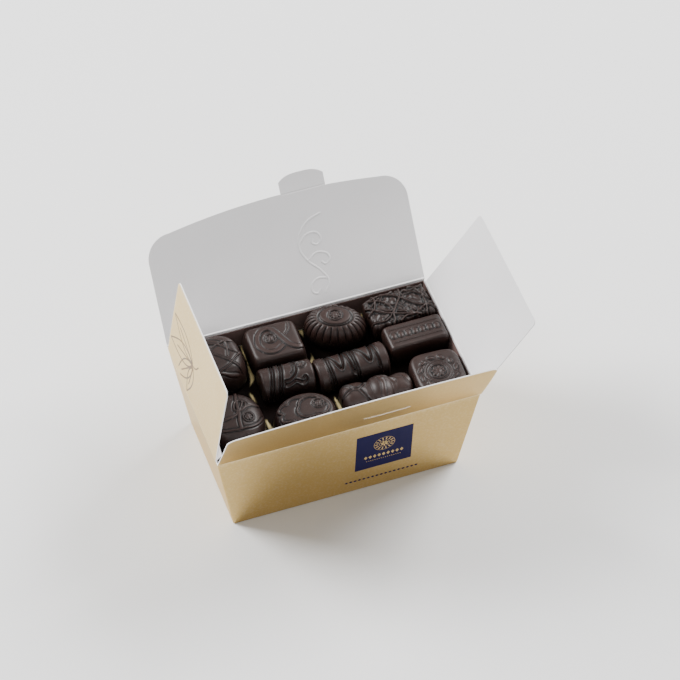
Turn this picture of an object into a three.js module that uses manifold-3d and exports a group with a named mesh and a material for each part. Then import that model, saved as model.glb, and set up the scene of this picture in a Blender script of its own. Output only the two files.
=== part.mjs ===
// An open folding carton filled with moulded chocolate pralines.
// Millimetres. +Z is up, +X runs along the carton to the right, -Y is its front.
// The origin is the centre of the carton's underside.
import * as THREE from 'three';
import { mergeVertices } from 'three/addons/utils/BufferGeometryUtils.js';
import Module from 'manifold-3d';

const wasm = await Module();
wasm.setup();

// The carton, which narrows towards its base
const TOP_LENGTH = 130;
const TOP_WIDTH = 76.8;
const HEIGHT = 54.3;
const END_TAPER = 8.4; // how far each end wall comes in at the base
const SIDE_TAPER = 5.4; // how far the front and back walls come in at the base
const CARD = 0.5;
const CLEARANCE = 0.3; // between pieces that touch
const CREASE_GAP = 0.45; // from a crease to the flat card of its flap
const RIM_DROP = 0.35; // from a crease down to the wall's own edge

// The flaps; an angle is measured up from the outward horizontal, so 90 stands upright
const LID_ANGLE = 53.3;
const LID_HEIGHT = 57.3; // at the crown of its arched edge
const LID_ARCH = 4; // drop of the arched edge towards the corners
const LID_ARCH_CENTRE = 5;
const LID_CORNER = 12.4;
const TAB_CENTRE = 15.1;
const TAB_WIDTH = 22.4;
const TAB_CREASE = 56.9;
const TAB_SIDE = 6.6;
const TAB_CROWN = 9.1;
const FRONT_ANGLE = 64.5;
const FRONT_HEIGHT = 46;
const FRONT_ARCH = 3;
const FRONT_ARCH_CENTRE = 8;
const FRONT_CORNER = 4.6;
const SLIT_LENGTH = 23.2;
const SLIT_HEIGHT = 15.5; // above the crease
const SLIT_WIDTH = 0.6;
const SLIT_SAG = 1.2; // how far the slit's ends turn towards the free edge
const RIGHT_ANGLE = 54.7;
const LEFT_ANGLE = 98.7;
const END_FLAP_WIDTH = 72.2;
const END_FLAP_HEIGHT = 46.5;
const END_FLAP_CORNER = 2.6;

// The layer inside
const PAD_TOP = 43.1;
const PAD_CARD = 0.6;
const LINER = 0.25;
const LINER_DROP = 0.9; // from the crease down to the lining's edge

// The chocolate shapes
const AROUND = 26; // sides of a moulded outline
const LINE = 0.5; // radius of a fine raised line
const STRAND = 0.85; // radius of a piped strand

const BASE = PAD_TOP + CLEARANCE;
const DARK = 0x3a2b28;
const GOLD = 0xb9a274;

const radians = THREE.MathUtils.degToRad;

// Solids from three.js geometries and back

function solidOf(geometry) {
  const bare = geometry.clone();
  bare.deleteAttribute('normal');
  bare.deleteAttribute('uv');
  const merged = mergeVertices(bare, 1e-4);
  const index = merged.index.array;
  const triangles = [];
  for (let i = 0; i < index.length; i += 3) {
    const [a, b, c] = [index[i], index[i + 1], index[i + 2]];
    if (a !== b && b !== c && c !== a) triangles.push(a, b, c);
  }
  const mesh = new wasm.Mesh({
    numProp: 3,
    vertProperties: new Float32Array(merged.attributes.position.array),
    triVerts: new Uint32Array(triangles),
  });
  return new wasm.Manifold(mesh);
}

function geometryOf(solid) {
  const mesh = solid.getMesh();
  const geometry = new THREE.BufferGeometry();
  geometry.setAttribute('position', new THREE.BufferAttribute(mesh.vertProperties, 3));
  geometry.setIndex(new THREE.BufferAttribute(mesh.triVerts, 1));
  geometry.computeVertexNormals();
  return geometry;
}

function joined(body, pieces) {
  return pieces.reduce((sum, piece) => sum.add(piece), body);
}

// Moves every point of a geometry by a function of its place
function reshaped(geometry, move) {
  const place = geometry.attributes.position;
  const point = new THREE.Vector3();
  for (let i = 0; i < place.count; i += 1) {
    point.fromBufferAttribute(place, i);
    move(point);
    place.setXYZ(i, point.x, point.y, point.z);
  }
  return geometry;
}

// Carton blocks follow the sloping walls

function halfLength(z) {
  return TOP_LENGTH / 2 - END_TAPER * (1 - z / HEIGHT);
}

function halfWidth(z) {
  return TOP_WIDTH / 2 - SIDE_TAPER * (1 - z / HEIGHT);
}

function cartonBlock(bottom, top, inset) {
  const block = reshaped(new THREE.BoxGeometry(1, 1, 1), (point) => {
    point.z = point.z < 0 ? bottom : top;
    point.x = Math.sign(point.x) * (halfLength(point.z) - inset);
    point.y = Math.sign(point.y) * (halfWidth(point.z) - inset);
  });
  return solidOf(block);
}

function trayBody() {
  const outside = cartonBlock(0, HEIGHT - RIM_DROP, 0);
  const inside = cartonBlock(CARD, HEIGHT + 1, CARD);
  return outside.subtract(inside);
}

function linerBody() {
  const inset = CARD + CLEARANCE;
  const outside = cartonBlock(PAD_TOP + CLEARANCE, HEIGHT - LINER_DROP, inset);
  const inside = cartonBlock(PAD_TOP - 1, HEIGHT + 1, inset + LINER);
  return outside.subtract(inside);
}

// Flaps are cut flat: x runs along the crease, y away from it

function arch(crown, drop, centre, reach) {
  return (x) => crown - drop * ((x - centre) / reach) ** 2;
}

function plateOf(shape) {
  const plate = new THREE.ExtrudeGeometry(shape, {
    depth: CARD,
    bevelEnabled: false,
    curveSegments: 8,
  });
  plate.translate(0, 0, -CARD / 2);
  return plate;
}

// A flap with straight sides, round corners and an edge that follows a curve
function flapShape(half, corner, edge) {
  const steps = 10;
  const shape = new THREE.Shape();
  shape.moveTo(-half, CREASE_GAP);
  shape.lineTo(half, CREASE_GAP);
  shape.lineTo(half, edge(half) - corner);
  shape.quadraticCurveTo(half, edge(half - corner / 2), half - corner, edge(half - corner));
  for (let i = 1; i <= steps; i += 1) {
    const x = (half - corner) * (1 - (2 * i) / steps);
    shape.lineTo(x, edge(x));
  }
  shape.quadraticCurveTo(-half, edge(-half + corner / 2), -half, edge(-half) - corner);
  return shape;
}

function lidBody() {
  const reach = TOP_LENGTH / 2 - LID_CORNER;
  const edge = arch(LID_HEIGHT, LID_ARCH, LID_ARCH_CENTRE, reach);
  const sheet = solidOf(plateOf(flapShape(TOP_LENGTH / 2, LID_CORNER, edge)));
  const notch = new THREE.BoxGeometry(TAB_WIDTH + 0.6, 4, 4);
  notch.translate(TAB_CENTRE, TAB_CREASE - CREASE_GAP + 2, 0);
  return sheet.subtract(solidOf(notch));
}

function tabShape() {
  const half = TAB_WIDTH / 2;
  const shape = new THREE.Shape();
  shape.moveTo(-half, CREASE_GAP);
  shape.lineTo(half, CREASE_GAP);
  shape.lineTo(half - 0.4, TAB_SIDE);
  shape.quadraticCurveTo(half * 0.5, TAB_CROWN + 0.4, 0, TAB_CROWN);
  shape.quadraticCurveTo(-half * 0.5, TAB_CROWN + 0.4, -half + 0.4, TAB_SIDE);
  return shape;
}

function frontFlapBody() {
  const reach = TOP_LENGTH / 2 - FRONT_CORNER;
  const edge = arch(FRONT_HEIGHT, FRONT_ARCH, -FRONT_ARCH_CENTRE, reach);
  const sheet = solidOf(plateOf(flapShape(TOP_LENGTH / 2, FRONT_CORNER, edge)));
  const slit = new THREE.BoxGeometry(SLIT_LENGTH, SLIT_WIDTH, 4, 8, 1, 1);
  reshaped(slit, (point) => {
    const along = (2 * point.x) / SLIT_LENGTH;
    point.y += SLIT_HEIGHT + SLIT_SAG * along ** 4;
    point.x -= TAB_CENTRE;
  });
  return sheet.subtract(solidOf(slit));
}

function endFlapShape() {
  return flapShape(END_FLAP_WIDTH / 2, END_FLAP_CORNER, () => END_FLAP_HEIGHT);
}

// Moulded chocolates: a rounded outline with a crowned top, standing on z = 0

const FOOT = 2.4; // height of the turned-in foot
const FOOT_SCALE = 0.95;

function outlineRadius(body, angle) {
  const across = Math.abs(Math.cos(angle) / body.halfX) ** body.corner;
  const along = Math.abs(Math.sin(angle) / body.halfY) ** body.corner;
  return (across + along) ** (-1 / body.corner);
}

// Height of the crowned top above the foot's level, over the plan point x, y
function topOf(body, x, y) {
  const across = Math.abs(x / body.halfX) ** body.corner;
  const along = Math.abs(y / body.halfY) ** body.corner;
  const reach = (across + along) ** (1 / body.corner);
  const out = Math.min(reach / (1 - (body.draft ?? 0)), 1);
  const waist = body.waist ?? FOOT;
  return waist + (body.height - waist) * (1 - out ** body.crown) ** (1 / body.shoulder);
}

function moulded(body) {
  const steps = body.steps ?? 5;
  const waist = body.waist ?? FOOT;
  const profile = [
    new THREE.Vector2(0, 0),
    new THREE.Vector2(body.foot ?? FOOT_SCALE, 0),
    new THREE.Vector2(1, waist),
  ];
  for (let i = 1; i < steps; i += 1) {
    const turn = (i / steps) * (Math.PI / 2);
    const up = Math.sin(turn) ** (2 / body.shoulder);
    const out = Math.cos(turn) ** (2 / body.crown) * (1 - (body.draft ?? 0) * up);
    profile.push(new THREE.Vector2(out, waist + (body.height - waist) * up));
  }
  profile.push(new THREE.Vector2(0, body.height));
  const form = new THREE.LatheGeometry(profile, body.around ?? AROUND);
  form.rotateX(Math.PI / 2);
  reshaped(form, (point) => {
    const angle = Math.atan2(point.y, point.x);
    const radius = Math.hypot(point.x, point.y);
    const flute = body.flute ? body.flute(angle, point.z, radius) : 0;
    const reach = radius * outlineRadius(body, angle) + flute;
    point.x = reach * Math.cos(angle);
    point.y = reach * Math.sin(angle);
  });
  return solidOf(form);
}

// A rod along a smooth path, for piped strands and raised lines
function rod(points, radius, steps, sides = 4) {
  const section = new THREE.Shape();
  for (let i = 0; i < sides; i += 1) {
    const turn = (2 * Math.PI * i) / sides;
    const [x, y] = [radius * Math.cos(turn), radius * Math.sin(turn)];
    if (i === 0) section.moveTo(x, y);
    else section.lineTo(x, y);
  }
  const path = new THREE.CatmullRomCurve3(points.map((point) => new THREE.Vector3(...point)));
  const options = { extrudePath: path, steps, bevelEnabled: false };
  return solidOf(new THREE.ExtrudeGeometry(section, options));
}

// A line raised on a surface, through points given in plan
function raisedLine(height, plan, radius = LINE, steps = 4 * (plan.length - 1)) {
  const flat = new THREE.SplineCurve(plan.map(([x, y]) => new THREE.Vector2(x, y)));
  const places = flat.getPoints(steps);
  const points = places.map(({ x, y }) => [x, y, height(x, y) + radius * 0.1]);
  return rod(points, radius, steps);
}

// A small flower of rings and petals, the stand-in ornament
function rosette(x, y, z, radius) {
  const petals = 7;
  const profile = [
    new THREE.Vector2(0, -1.2),
    new THREE.Vector2(radius, -1.2),
    new THREE.Vector2(radius, 0.1),
    new THREE.Vector2(radius * 0.8, 0.45),
    new THREE.Vector2(radius * 0.45, 0.1),
    new THREE.Vector2(0, 0.6),
  ];
  const form = new THREE.LatheGeometry(profile, 2 * petals);
  form.rotateX(Math.PI / 2);
  reshaped(form, (point) => {
    const ripple = 1 + 0.09 * Math.cos(petals * Math.atan2(point.y, point.x));
    point.set(point.x * ripple + x, point.y * ripple + y, point.z + z);
  });
  return solidOf(form);
}

// A log lies along x; its radius follows a function and its underside is flat
function logBody(log) {
  const steps = log.steps ?? 10;
  const profile = [new THREE.Vector2(0, -log.half)];
  for (let i = 0; i <= steps; i += 1) {
    const x = log.half * (-1 + (2 * i) / steps);
    profile.push(new THREE.Vector2(log.radius(x), x));
  }
  profile.push(new THREE.Vector2(0, log.half));
  const form = new THREE.LatheGeometry(profile, log.around ?? 18);
  form.rotateZ(-Math.PI / 2);
  reshaped(form, (point) => {
    if (point.z >= 0) return;
    const angle = Math.atan2(point.z, point.y);
    const radius = Math.hypot(point.y, point.z);
    point.y = radius * Math.sign(Math.cos(angle)) * Math.abs(Math.cos(angle)) ** 0.4;
    point.z = -log.axle * Math.min(radius / log.radius(0), 1) * Math.abs(Math.sin(angle)) ** 0.4;
  });
  form.translate(0, 0, log.axle);
  return solidOf(form);
}

function logTop(log) {
  return (x, y) => log.axle + Math.sqrt(Math.max(log.radius(x) ** 2 - y ** 2, 1));
}

function roundedEnds(half, radius, rounding) {
  return (x) => {
    const past = Math.max(Math.abs(x) - half + rounding, 0) / rounding;
    return radius - rounding * (1 - Math.sqrt(Math.max(1 - past ** 2, 0)));
  };
}

// The eleven chocolates of the top layer

function netDome() {
  const body = { halfX: 13.9, halfY: 14.2, corner: 2.8, height: 16.4, crown: 8, shoulder: 2.2, draft: 0.06 };
  const height = (x, y) => topOf(body, x, y);
  const net = [
    [[0.3, -10.3], [3.9, -8.5], [9.9, -3.5]],
    [[-6, -10.5], [-1.2, -11.2], [3.6, -11.8]],
    [[-2, 1], [3.7, -4.8], [6.3, -7.7], [8.9, -9]],
    [[-8, 8], [-0.1, 6.1], [3.6, 4], [7.3, 0.1], [10.3, -2.2]],
    [[-11, -4], [-5, 1], [0, 9], [7.1, 3.1]],
  ];
  return joined(moulded(body), net.map((line) => raisedLine(height, line, LINE, 6)));
}

function ribbonSquare() {
  const body = { halfX: 13.8, halfY: 11.9, corner: 7, height: 12.2, crown: 16, shoulder: 2.6, draft: 0.05 };
  const height = (x, y) => topOf(body, x, y);
  const ribbon = [
    [2.4, -5.2], [-1.2, -6.7], [-5.3, -5.8], [-8, -1.8], [-7.6, 3.4], [-4.8, 7.2], [-0.9, 8],
    [1.9, 4.4], [3.9, -0.4], [6.1, -4.7], [9.2, -7.4],
  ];
  const tail = [[9, 8.1], [8, 4], [6.3, 2.3]];
  return joined(moulded(body), [
    raisedLine(height, ribbon, LINE, 22),
    raisedLine(height, tail, LINE, 4),
    rosette(-1.5, 1.3, height(0, 0), 2.6),
  ]);
}

function flutedOval() {
  const flutes = 24;
  const body = {
    halfX: 14.9,
    halfY: 10.2,
    corner: 2,
    height: 16.2,
    waist: 6,
    foot: 0.85,
    crown: 4.5,
    shoulder: 2,
    steps: 6,
    around: 2 * flutes,
    flute: (angle, z, radius) => (radius > 0.7 && z > 5 ? 0.22 * Math.cos(flutes * angle) : 0),
  };
  const disc = { halfX: 7.4, halfY: 5.4, corner: 2, height: 16.8, waist: 14, crown: 8, shoulder: 2 };
  const medallion = moulded({ ...disc, foot: 1, steps: 4, around: 24 });
  return joined(moulded(body), [medallion, rosette(0, 0, disc.height, 3)]);
}

function pipedBlock() {
  const body = {
    halfX: 16.4,
    halfY: 9.8,
    corner: 9,
    height: 14,
    waist: 9,
    foot: 0.93,
    crown: 12,
    shoulder: 2.6,
    draft: 0.01,
    steps: 4,
  };
  const height = (x, y) => topOf(body, x, y);
  const strands = [
    [[-15.4, 3.4], [-6, -3.8], [3.7, -7.3]],
    [[-15.4, -6.3], [-4.7, -4], [2.3, 4.6]],
    [[2, 4], [7, -0.5], [14.9, -5.4]],
    [[0, -8.6], [6, -7.6], [13, -2]],
    [[-6, 8.5], [2, 4], [14.9, -1.2]],
    [[-6, -9.2], [-3.4, -4.8], [-0.8, 0]],
    [[-12, 7], [-5.5, 2.5], [-3.4, -2.2]],
    [[7.8, 8.5], [12.3, 0.4], [11, -9]],
  ];
  return joined(moulded(body), strands.map((line) => raisedLine(height, line, STRAND, 3)));
}

function scrollLog() {
  const half = 12.8;
  const log = { half, axle: 5.4, radius: roundedEnds(half, 8, 1.4) };
  const height = logTop(log);
  const band = (x) => [[x + 1, 7.4], [x + 0.4, 4.5], [x, 0], [x - 1.2, -5], [x - 2, -7.4]];
  const scroll = [
    [3.8, 6.8], [4.9, 0.3], [3.7, -3.1], [0.6, -4.6], [-1.4, -5.6], [1.6, -6.9], [5.6, -6.6], [8.4, -5.2],
  ];
  return joined(logBody(log), [
    raisedLine(height, band(-6.8), LINE, 8),
    raisedLine(height, band(-2.6), LINE, 8),
    raisedLine(height, scroll, LINE, 20),
    rosette(7.3, 1.6, height(7.3, 1.6) - 0.3, 2),
  ]);
}

function zigzagLog() {
  const half = 17.6;
  const plain = roundedEnds(half, 7.9, 1.2);
  const collar = (x) => (Math.abs(x) > half - 4.4 && Math.abs(x) < half - 1 ? 0.5 : 0);
  const log = { half, axle: 5.2, steps: 16, around: 16, radius: (x) => plain(x) + collar(x) };
  const height = logTop(log);
  const zigzag = [];
  for (let i = 0; i <= 7; i += 1) {
    zigzag.push([-10.5 + 3.2 * i, i % 2 ? -4.2 : 6.4]);
  }
  const loops = [[-11.4, 6.8], [-11.8, -2], [-11.2, -6.6]];
  const second = loops.map(([x, y]) => [x + 11.4, y]);
  return joined(logBody(log), [
    raisedLine(height, zigzag, LINE, 21),
    raisedLine(height, loops, LINE, 6),
    raisedLine(height, second, LINE, 6),
  ]);
}

function beadedBar() {
  const body = {
    halfX: 14.9,
    halfY: 7.6,
    corner: 14,
    height: 13.8,
    waist: 9,
    foot: 0.92,
    crown: 18,
    shoulder: 2.4,
    draft: 0.01,
    around: 36,
  };
  const beads = [];
  for (let i = -3; i <= 3; i += 1) {
    const bead = new THREE.SphereGeometry(1, 8, 4);
    bead.scale(1.4, 1.4, 0.6);
    bead.translate(3.6 * i, 0, body.height);
    beads.push(solidOf(bead));
  }
  return joined(moulded(body), beads);
}

function crossedOval() {
  const body = { halfX: 13.3, halfY: 15.3, corner: 2.2, height: 13.4, crown: 3.6, shoulder: 2.1 };
  const height = (x, y) => topOf(body, x, y);
  const knot = [1, -0.8];
  return joined(moulded(body), [
    raisedLine(height, [[3.2, 12], [1.6, 5], knot, [-0.5, -5.6], [-0.8, -9.4]], STRAND, 8),
    raisedLine(height, [[-10.5, -2], [-4.8, -3], knot, [6, 1.5], [10.5, 2]], STRAND, 8),
    raisedLine(height, [knot, [-0.6, 1.4], [0.9, 5.2], [3.1, 6], [4.3, 4.9], knot], LINE, 12),
    raisedLine(height, [[-9, -7], [-2.9, -9.5], [5.2, -9.6], [9, -7.8]], LINE, 6),
    rosette(4.2, -4.6, height(4.2, -4.6) - 0.3, 2.6),
  ]);
}

// A scalloped line of round bows, drawn about a centre
function scallops(x, y, radiusX, radiusY, bows, start, end) {
  const points = [];
  const count = 5 * bows;
  for (let i = 0; i <= count; i += 1) {
    const turn = THREE.MathUtils.lerp(start, end, i / count);
    const swell = 0.82 + 0.2 * Math.abs(Math.sin((Math.PI * bows * i) / count));
    points.push([x + radiusX * swell * Math.cos(turn), y + radiusY * swell * Math.sin(turn)]);
  }
  return points;
}

function scallopOval() {
  const body = { halfX: 15.6, halfY: 12.3, corner: 2.1, height: 12.4, crown: 11, shoulder: 2.4, draft: 0.07 };
  const height = (x, y) => topOf(body, x, y);
  const outer = scallops(-2.4, 0.2, 10.8, 7.6, 4, 0.4 * Math.PI, 1.6 * Math.PI);
  const inner = scallops(3.4, 0.4, 8, 6.4, 3, 0.25 * Math.PI, 2.1 * Math.PI);
  return joined(moulded(body), [
    raisedLine(height, outer, LINE, 23),
    raisedLine(height, inner, LINE, 16),
    rosette(6.8, 1.6, height(6.8, 1.6) - 0.1, 2.6),
  ]);
}

function knottedLog() {
  const half = 17.2;
  const lobes = [[-10.2, 7.6, 8.4], [2.4, 6.8, 9.1], [12.2, 6.2, 7.9]];
  const swell = (x) => Math.max(...lobes.map(([centre, reach, radius]) => {
    const out = Math.min(Math.abs(x - centre) / reach, 1);
    return radius * (1 - out ** 3) ** 0.4;
  }));
  const log = { half, axle: 4.4, steps: 19, around: 16, radius: (x) => Math.max(swell(x), 2.5) };
  const height = logTop(log);
  return joined(logBody(log), [
    raisedLine(height, [[-15.4, -0.8], [-11.3, 0.3], [-9.1, 0.3], [-6.9, -3.2], [-5.2, -5.4]], LINE, 8),
    raisedLine(height, [[-13.2, 4.3], [-10.3, -0.1], [-6.5, 1.4], [-4.6, 4]], LINE, 6),
  ]);
}

function wreathSquare() {
  const body = {
    halfX: 12.4,
    halfY: 12.6,
    corner: 4.4,
    height: 14,
    waist: 8,
    foot: 0.92,
    crown: 14,
    shoulder: 2.4,
    draft: 0.01,
  };
  const height = (x, y) => topOf(body, x, y);
  const [middleX, middleY, ring] = [-0.3, -1.4, 8.6];
  const leaves = [];
  const count = 11;
  for (let i = 0; i < count; i += 1) {
    const turn = (2 * Math.PI * i) / count;
    const leaf = new THREE.SphereGeometry(1, 6, 3);
    leaf.scale(1.7, 0.8, 0.6);
    leaf.rotateZ(turn + radians(70));
    leaf.translate(middleX + ring * Math.cos(turn), middleY + ring * Math.sin(turn), height(0, 0));
    leaves.push(solidOf(leaf));
  }
  return joined(moulded(body), [...leaves, rosette(middleX, middleY, height(0, 0), 4.4)]);
}

// Names, places, turns and tones of the chocolates
const PRALINES = [
  ['praline_net_dome', netDome, -46, 22.2, 0],
  ['praline_ribbon_square', ribbonSquare, -16.1, 24.2, -1],
  ['praline_fluted_oval', flutedOval, 14.9, 25.6, -21.6],
  ['praline_piped_block', pipedBlock, 46.6, 24.2, 2.4],
  ['praline_scroll_log', scrollLog, -17.2, 3.5, -2.5],
  ['praline_zigzag_log', zigzagLog, 14.2, 1.2, 1.6],
  ['praline_beaded_bar', beadedBar, 48.4, 6.1, 0.3],
  ['praline_crossed_oval', crossedOval, -47.3, -12.6, 0],
  ['praline_scallop_oval', scallopOval, -16, -21.2, 0],
  ['praline_knotted_log', knottedLog, 20, -18.3, -1.5],
  ['praline_wreath_square', wreathSquare, 50.4, -19.9, -2],
];

// Scene graph

const box = new THREE.Group();

function named(name, geometry, color, roughness, metalness = 0) {
  const material = new THREE.MeshStandardMaterial({ color, roughness, metalness });
  const mesh = new THREE.Mesh(geometry, material);
  mesh.name = name;
  return mesh;
}

// A frame on a crease: its y points away from the carton and is raised by the flap's angle
function creaseFrame(x, y, heading, angle) {
  const crease = new THREE.Group();
  crease.position.set(x, y, HEIGHT);
  crease.rotation.z = radians(heading);
  const leaf = new THREE.Group();
  leaf.rotation.x = radians(angle);
  crease.add(leaf);
  box.add(crease);
  return leaf;
}

box.add(named('tray', geometryOf(trayBody()), GOLD, 0.45, 0.6));
box.add(named('liner', geometryOf(linerBody()), 0x443836, 0.6));
const padBottom = PAD_TOP - PAD_CARD;
const pad = cartonBlock(padBottom, PAD_TOP, CARD + CLEARANCE);
box.add(named('layer_pad', geometryOf(pad), 0xc9b27c, 0.4, 0.6));
const fill = cartonBlock(CARD + CLEARANCE, padBottom - CLEARANCE, CARD + CLEARANCE);
box.add(named('unseen_fill', geometryOf(fill), DARK, 0.7));

const lid = creaseFrame(0, TOP_WIDTH / 2, 0, LID_ANGLE);
lid.add(named('lid_flap', geometryOf(lidBody()), 0xcbcacb, 0.7));
const tab = named('lid_tab', geometryOf(solidOf(plateOf(tabShape()))), 0xcbcacb, 0.7);
tab.position.set(TAB_CENTRE, TAB_CREASE, 0);
lid.add(tab);

const front = creaseFrame(0, -TOP_WIDTH / 2, 180, FRONT_ANGLE);
front.add(named('front_flap', geometryOf(frontFlapBody()), GOLD, 0.45, 0.6));
const endFlap = geometryOf(solidOf(plateOf(endFlapShape())));
const right = creaseFrame(TOP_LENGTH / 2, 0, -90, RIGHT_ANGLE);
right.add(named('right_flap', endFlap, 0xdcdcdc, 0.7));
const left = creaseFrame(-TOP_LENGTH / 2, 0, 90, LEFT_ANGLE);
left.add(named('left_flap', endFlap, 0xd6c6a3, 0.45, 0.6));

for (const [name, shape, x, y, turn] of PRALINES) {
  const praline = named(name, geometryOf(shape()), DARK, 0.4);
  praline.position.set(x, y, BASE);
  praline.rotation.z = radians(turn);
  box.add(praline);
}

export default box;
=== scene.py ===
import math

import bmesh
import bpy
import numpy as np
from mathutils import Matrix, Vector


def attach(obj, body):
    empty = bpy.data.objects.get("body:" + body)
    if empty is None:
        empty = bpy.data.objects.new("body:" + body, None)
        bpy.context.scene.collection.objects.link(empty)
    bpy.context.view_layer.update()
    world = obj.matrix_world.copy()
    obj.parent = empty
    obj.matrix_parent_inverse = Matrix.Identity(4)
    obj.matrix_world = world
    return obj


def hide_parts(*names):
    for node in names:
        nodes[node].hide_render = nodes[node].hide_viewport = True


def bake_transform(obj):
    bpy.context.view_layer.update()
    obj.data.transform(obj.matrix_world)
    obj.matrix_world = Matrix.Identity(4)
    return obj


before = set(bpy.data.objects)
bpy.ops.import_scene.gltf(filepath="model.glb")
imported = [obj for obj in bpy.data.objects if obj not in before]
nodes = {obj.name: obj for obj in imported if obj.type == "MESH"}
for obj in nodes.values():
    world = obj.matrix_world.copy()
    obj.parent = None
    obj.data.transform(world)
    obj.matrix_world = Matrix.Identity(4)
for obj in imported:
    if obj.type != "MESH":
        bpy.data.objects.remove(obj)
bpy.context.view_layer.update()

# Lengths are in millimetres until a mesh is made.
MM = 0.001
CARD = 0.5
TOP_LENGTH, TOP_WIDTH, HEIGHT = 130.0, 76.8, 54.3
END_TAPER, SIDE_TAPER = 8.4, 5.4  # how far each wall leans in at its foot
CREASE_GAP, CREASE_OVERLAP, CREASE_INSET = 0.45, 0.1, 0.02
RIM_DROP, RIM_BEVEL = 0.35, 0.12
CREASE_BEAD = 0.3  # the bead that a creasing rule leaves inside a fold
WORN_REACH = 0.5
PAD_TOP, PAD_CARD, PAD_INSET = 43.1, 0.6, 1.2
CHOCOLATE_BASE = PAD_TOP + 0.3
CHOCOLATE_SHADE = 11.0  # painted shade: the chocolates' colour darkens from this height down to their foot
LABEL, LABEL_PAPER, MOTIF_DEPTH = 28.2, 0.05, 0.06
LABEL_X, LABEL_Y = 17.7, -24.0  # the label's middle, from the middle of the front wall's rim
LABEL_LIFT, ORNAMENT_LIFT, PRINT_LIFT = 0.01, 0.09, 0.03  # how far each stands off the wall

# Each flap: half its length, corner radius, height, its edge's fall towards the ends and where that
# starts from, its angle above the horizontal and the side of the carton that it stands on.
LID = {"half": TOP_LENGTH / 2, "corner": 12.4, "crown": 57.3, "drop": 4.0, "centre": 5.0,
       "angle": 53.3, "heading": 0}
FRONT = {"half": TOP_LENGTH / 2, "corner": 4.6, "crown": 46.0, "drop": 3.0, "centre": -8.0,
         "angle": 64.5, "heading": 180}
RIGHT = {"half": 36.1, "corner": 2.6, "crown": 46.5, "drop": 0.0, "centre": 0.0,
         "angle": 54.7, "heading": -90}
LEFT = dict(RIGHT, angle=98.7, heading=90)
TAB_CENTRE, TAB_WIDTH, TAB_CREASE = 15.1, 22.4, 56.9
TAB_SIDE, TAB_CROWN, TAB_CLEARANCE = 6.6, 9.1, 0.3
SLIT_LENGTH, SLIT_HEIGHT, SLIT_SAG, SLIT_HALF_GAP = 23.2, 15.5, 1.2, 0.13


# Materials

FLOAT, COLOUR = "NodeSocketFloat", "NodeSocketColor"


def node(tree, kind, fed=(), **settings):
    """A node with its settings. Its inputs are fed by plain values or by other nodes' outputs."""
    made = tree.nodes.new(kind)
    for key, value in settings.items():
        setattr(made, key, value)
    for title, value in dict(fed).items():
        if isinstance(value, bpy.types.NodeSocket):
            tree.links.new(value, made.inputs[title])
        else:
            made.inputs[title].default_value = value
    return made


def blend_colours(tree, share, first, second):
    """The colour between two, by a share of the second."""
    mix = node(tree, "ShaderNodeMix", {"Factor": share, "A": first, "B": second}, data_type="RGBA")
    return mix.outputs["Result"]


def noise_on(tree, scale, detail=2):
    """Noise on the piece's own coordinates."""
    place = node(tree, "ShaderNodeTexCoord").outputs["Object"]
    noise = node(tree, "ShaderNodeTexNoise", {"Vector": place, "Scale": scale, "Detail": detail})
    return noise.outputs["Fac"]


def product(tree, first, second, **settings):
    return node(tree, "ShaderNodeMath", {0: first, 1: second}, operation="MULTIPLY", **settings).outputs[0]


def effect_group(name, inputs, output, kind, made_from):
    """A shader group with named inputs, whose one output is what made_from returns for them."""
    tree = bpy.data.node_groups.new(name, "ShaderNodeTree")
    for title, (socket_type, value) in inputs.items():
        socket = tree.interface.new_socket(title, in_out="INPUT", socket_type=socket_type)
        socket.default_value = value
    tree.interface.new_socket(output, in_out="OUTPUT", socket_type=kind)
    given = node(tree, "NodeGroupInput").outputs
    node(tree, "NodeGroupOutput", {output: made_from(tree, given)})
    return tree


def soft_mottle(tree, given):
    """Soft uneven patches between two colours."""
    spread = node(tree, "ShaderNodeMapRange",
                  {"Value": noise_on(tree, given["Scale"], 5), "From Min": 0.3, "From Max": 0.7})
    share = product(tree, spread.outputs["Result"], given["Amount"])
    return blend_colours(tree, share, given["Light"], given["Dark"])


def fine_grain(tree, given):
    """A fine pitted grain, as height for a Bump node."""
    fine, coarse = noise_on(tree, given["Fine Scale"]), noise_on(tree, given["Coarse Scale"], 3)
    mix = node(tree, "ShaderNodeMix", {"Factor": given["Coarse Share"], "A": fine, "B": coarse})
    return mix.outputs["Result"]


def worn_rim(tree, given):
    """Wear from a piece's own rim attribute, broken up by noise."""
    rim = node(tree, "ShaderNodeAttribute", attribute_name="rim").outputs["Fac"]
    push = node(tree, "ShaderNodeMath", {0: rim, 1: 0.9, 2: noise_on(tree, given["Scale"])},
                operation="MULTIPLY_ADD")
    less = node(tree, "ShaderNodeMath", {0: push.outputs[0], 1: 0.45}, operation="SUBTRACT", use_clamp=True)
    share = product(tree, less.outputs[0], given["Amount"], use_clamp=True)
    return blend_colours(tree, share, given["Colour"], given["Bare"])


WHITE, BLACK = (1, 1, 1, 1), (0, 0, 0, 1)
MOTTLE = effect_group("soft mottle", {
    "Scale": (FLOAT, 60.0), "Amount": (FLOAT, 0.5), "Light": (COLOUR, WHITE), "Dark": (COLOUR, BLACK),
}, "Colour", COLOUR, soft_mottle)
GRAIN = effect_group("fine grain", {
    "Fine Scale": (FLOAT, 2500.0), "Coarse Scale": (FLOAT, 300.0), "Coarse Share": (FLOAT, 0.5),
}, "Height", FLOAT, fine_grain)
WORN = effect_group("worn rim", {
    "Colour": (COLOUR, WHITE), "Bare": (COLOUR, WHITE), "Amount": (FLOAT, 1.0), "Scale": (FLOAT, 900.0),
}, "Colour", COLOUR, worn_rim)


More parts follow.
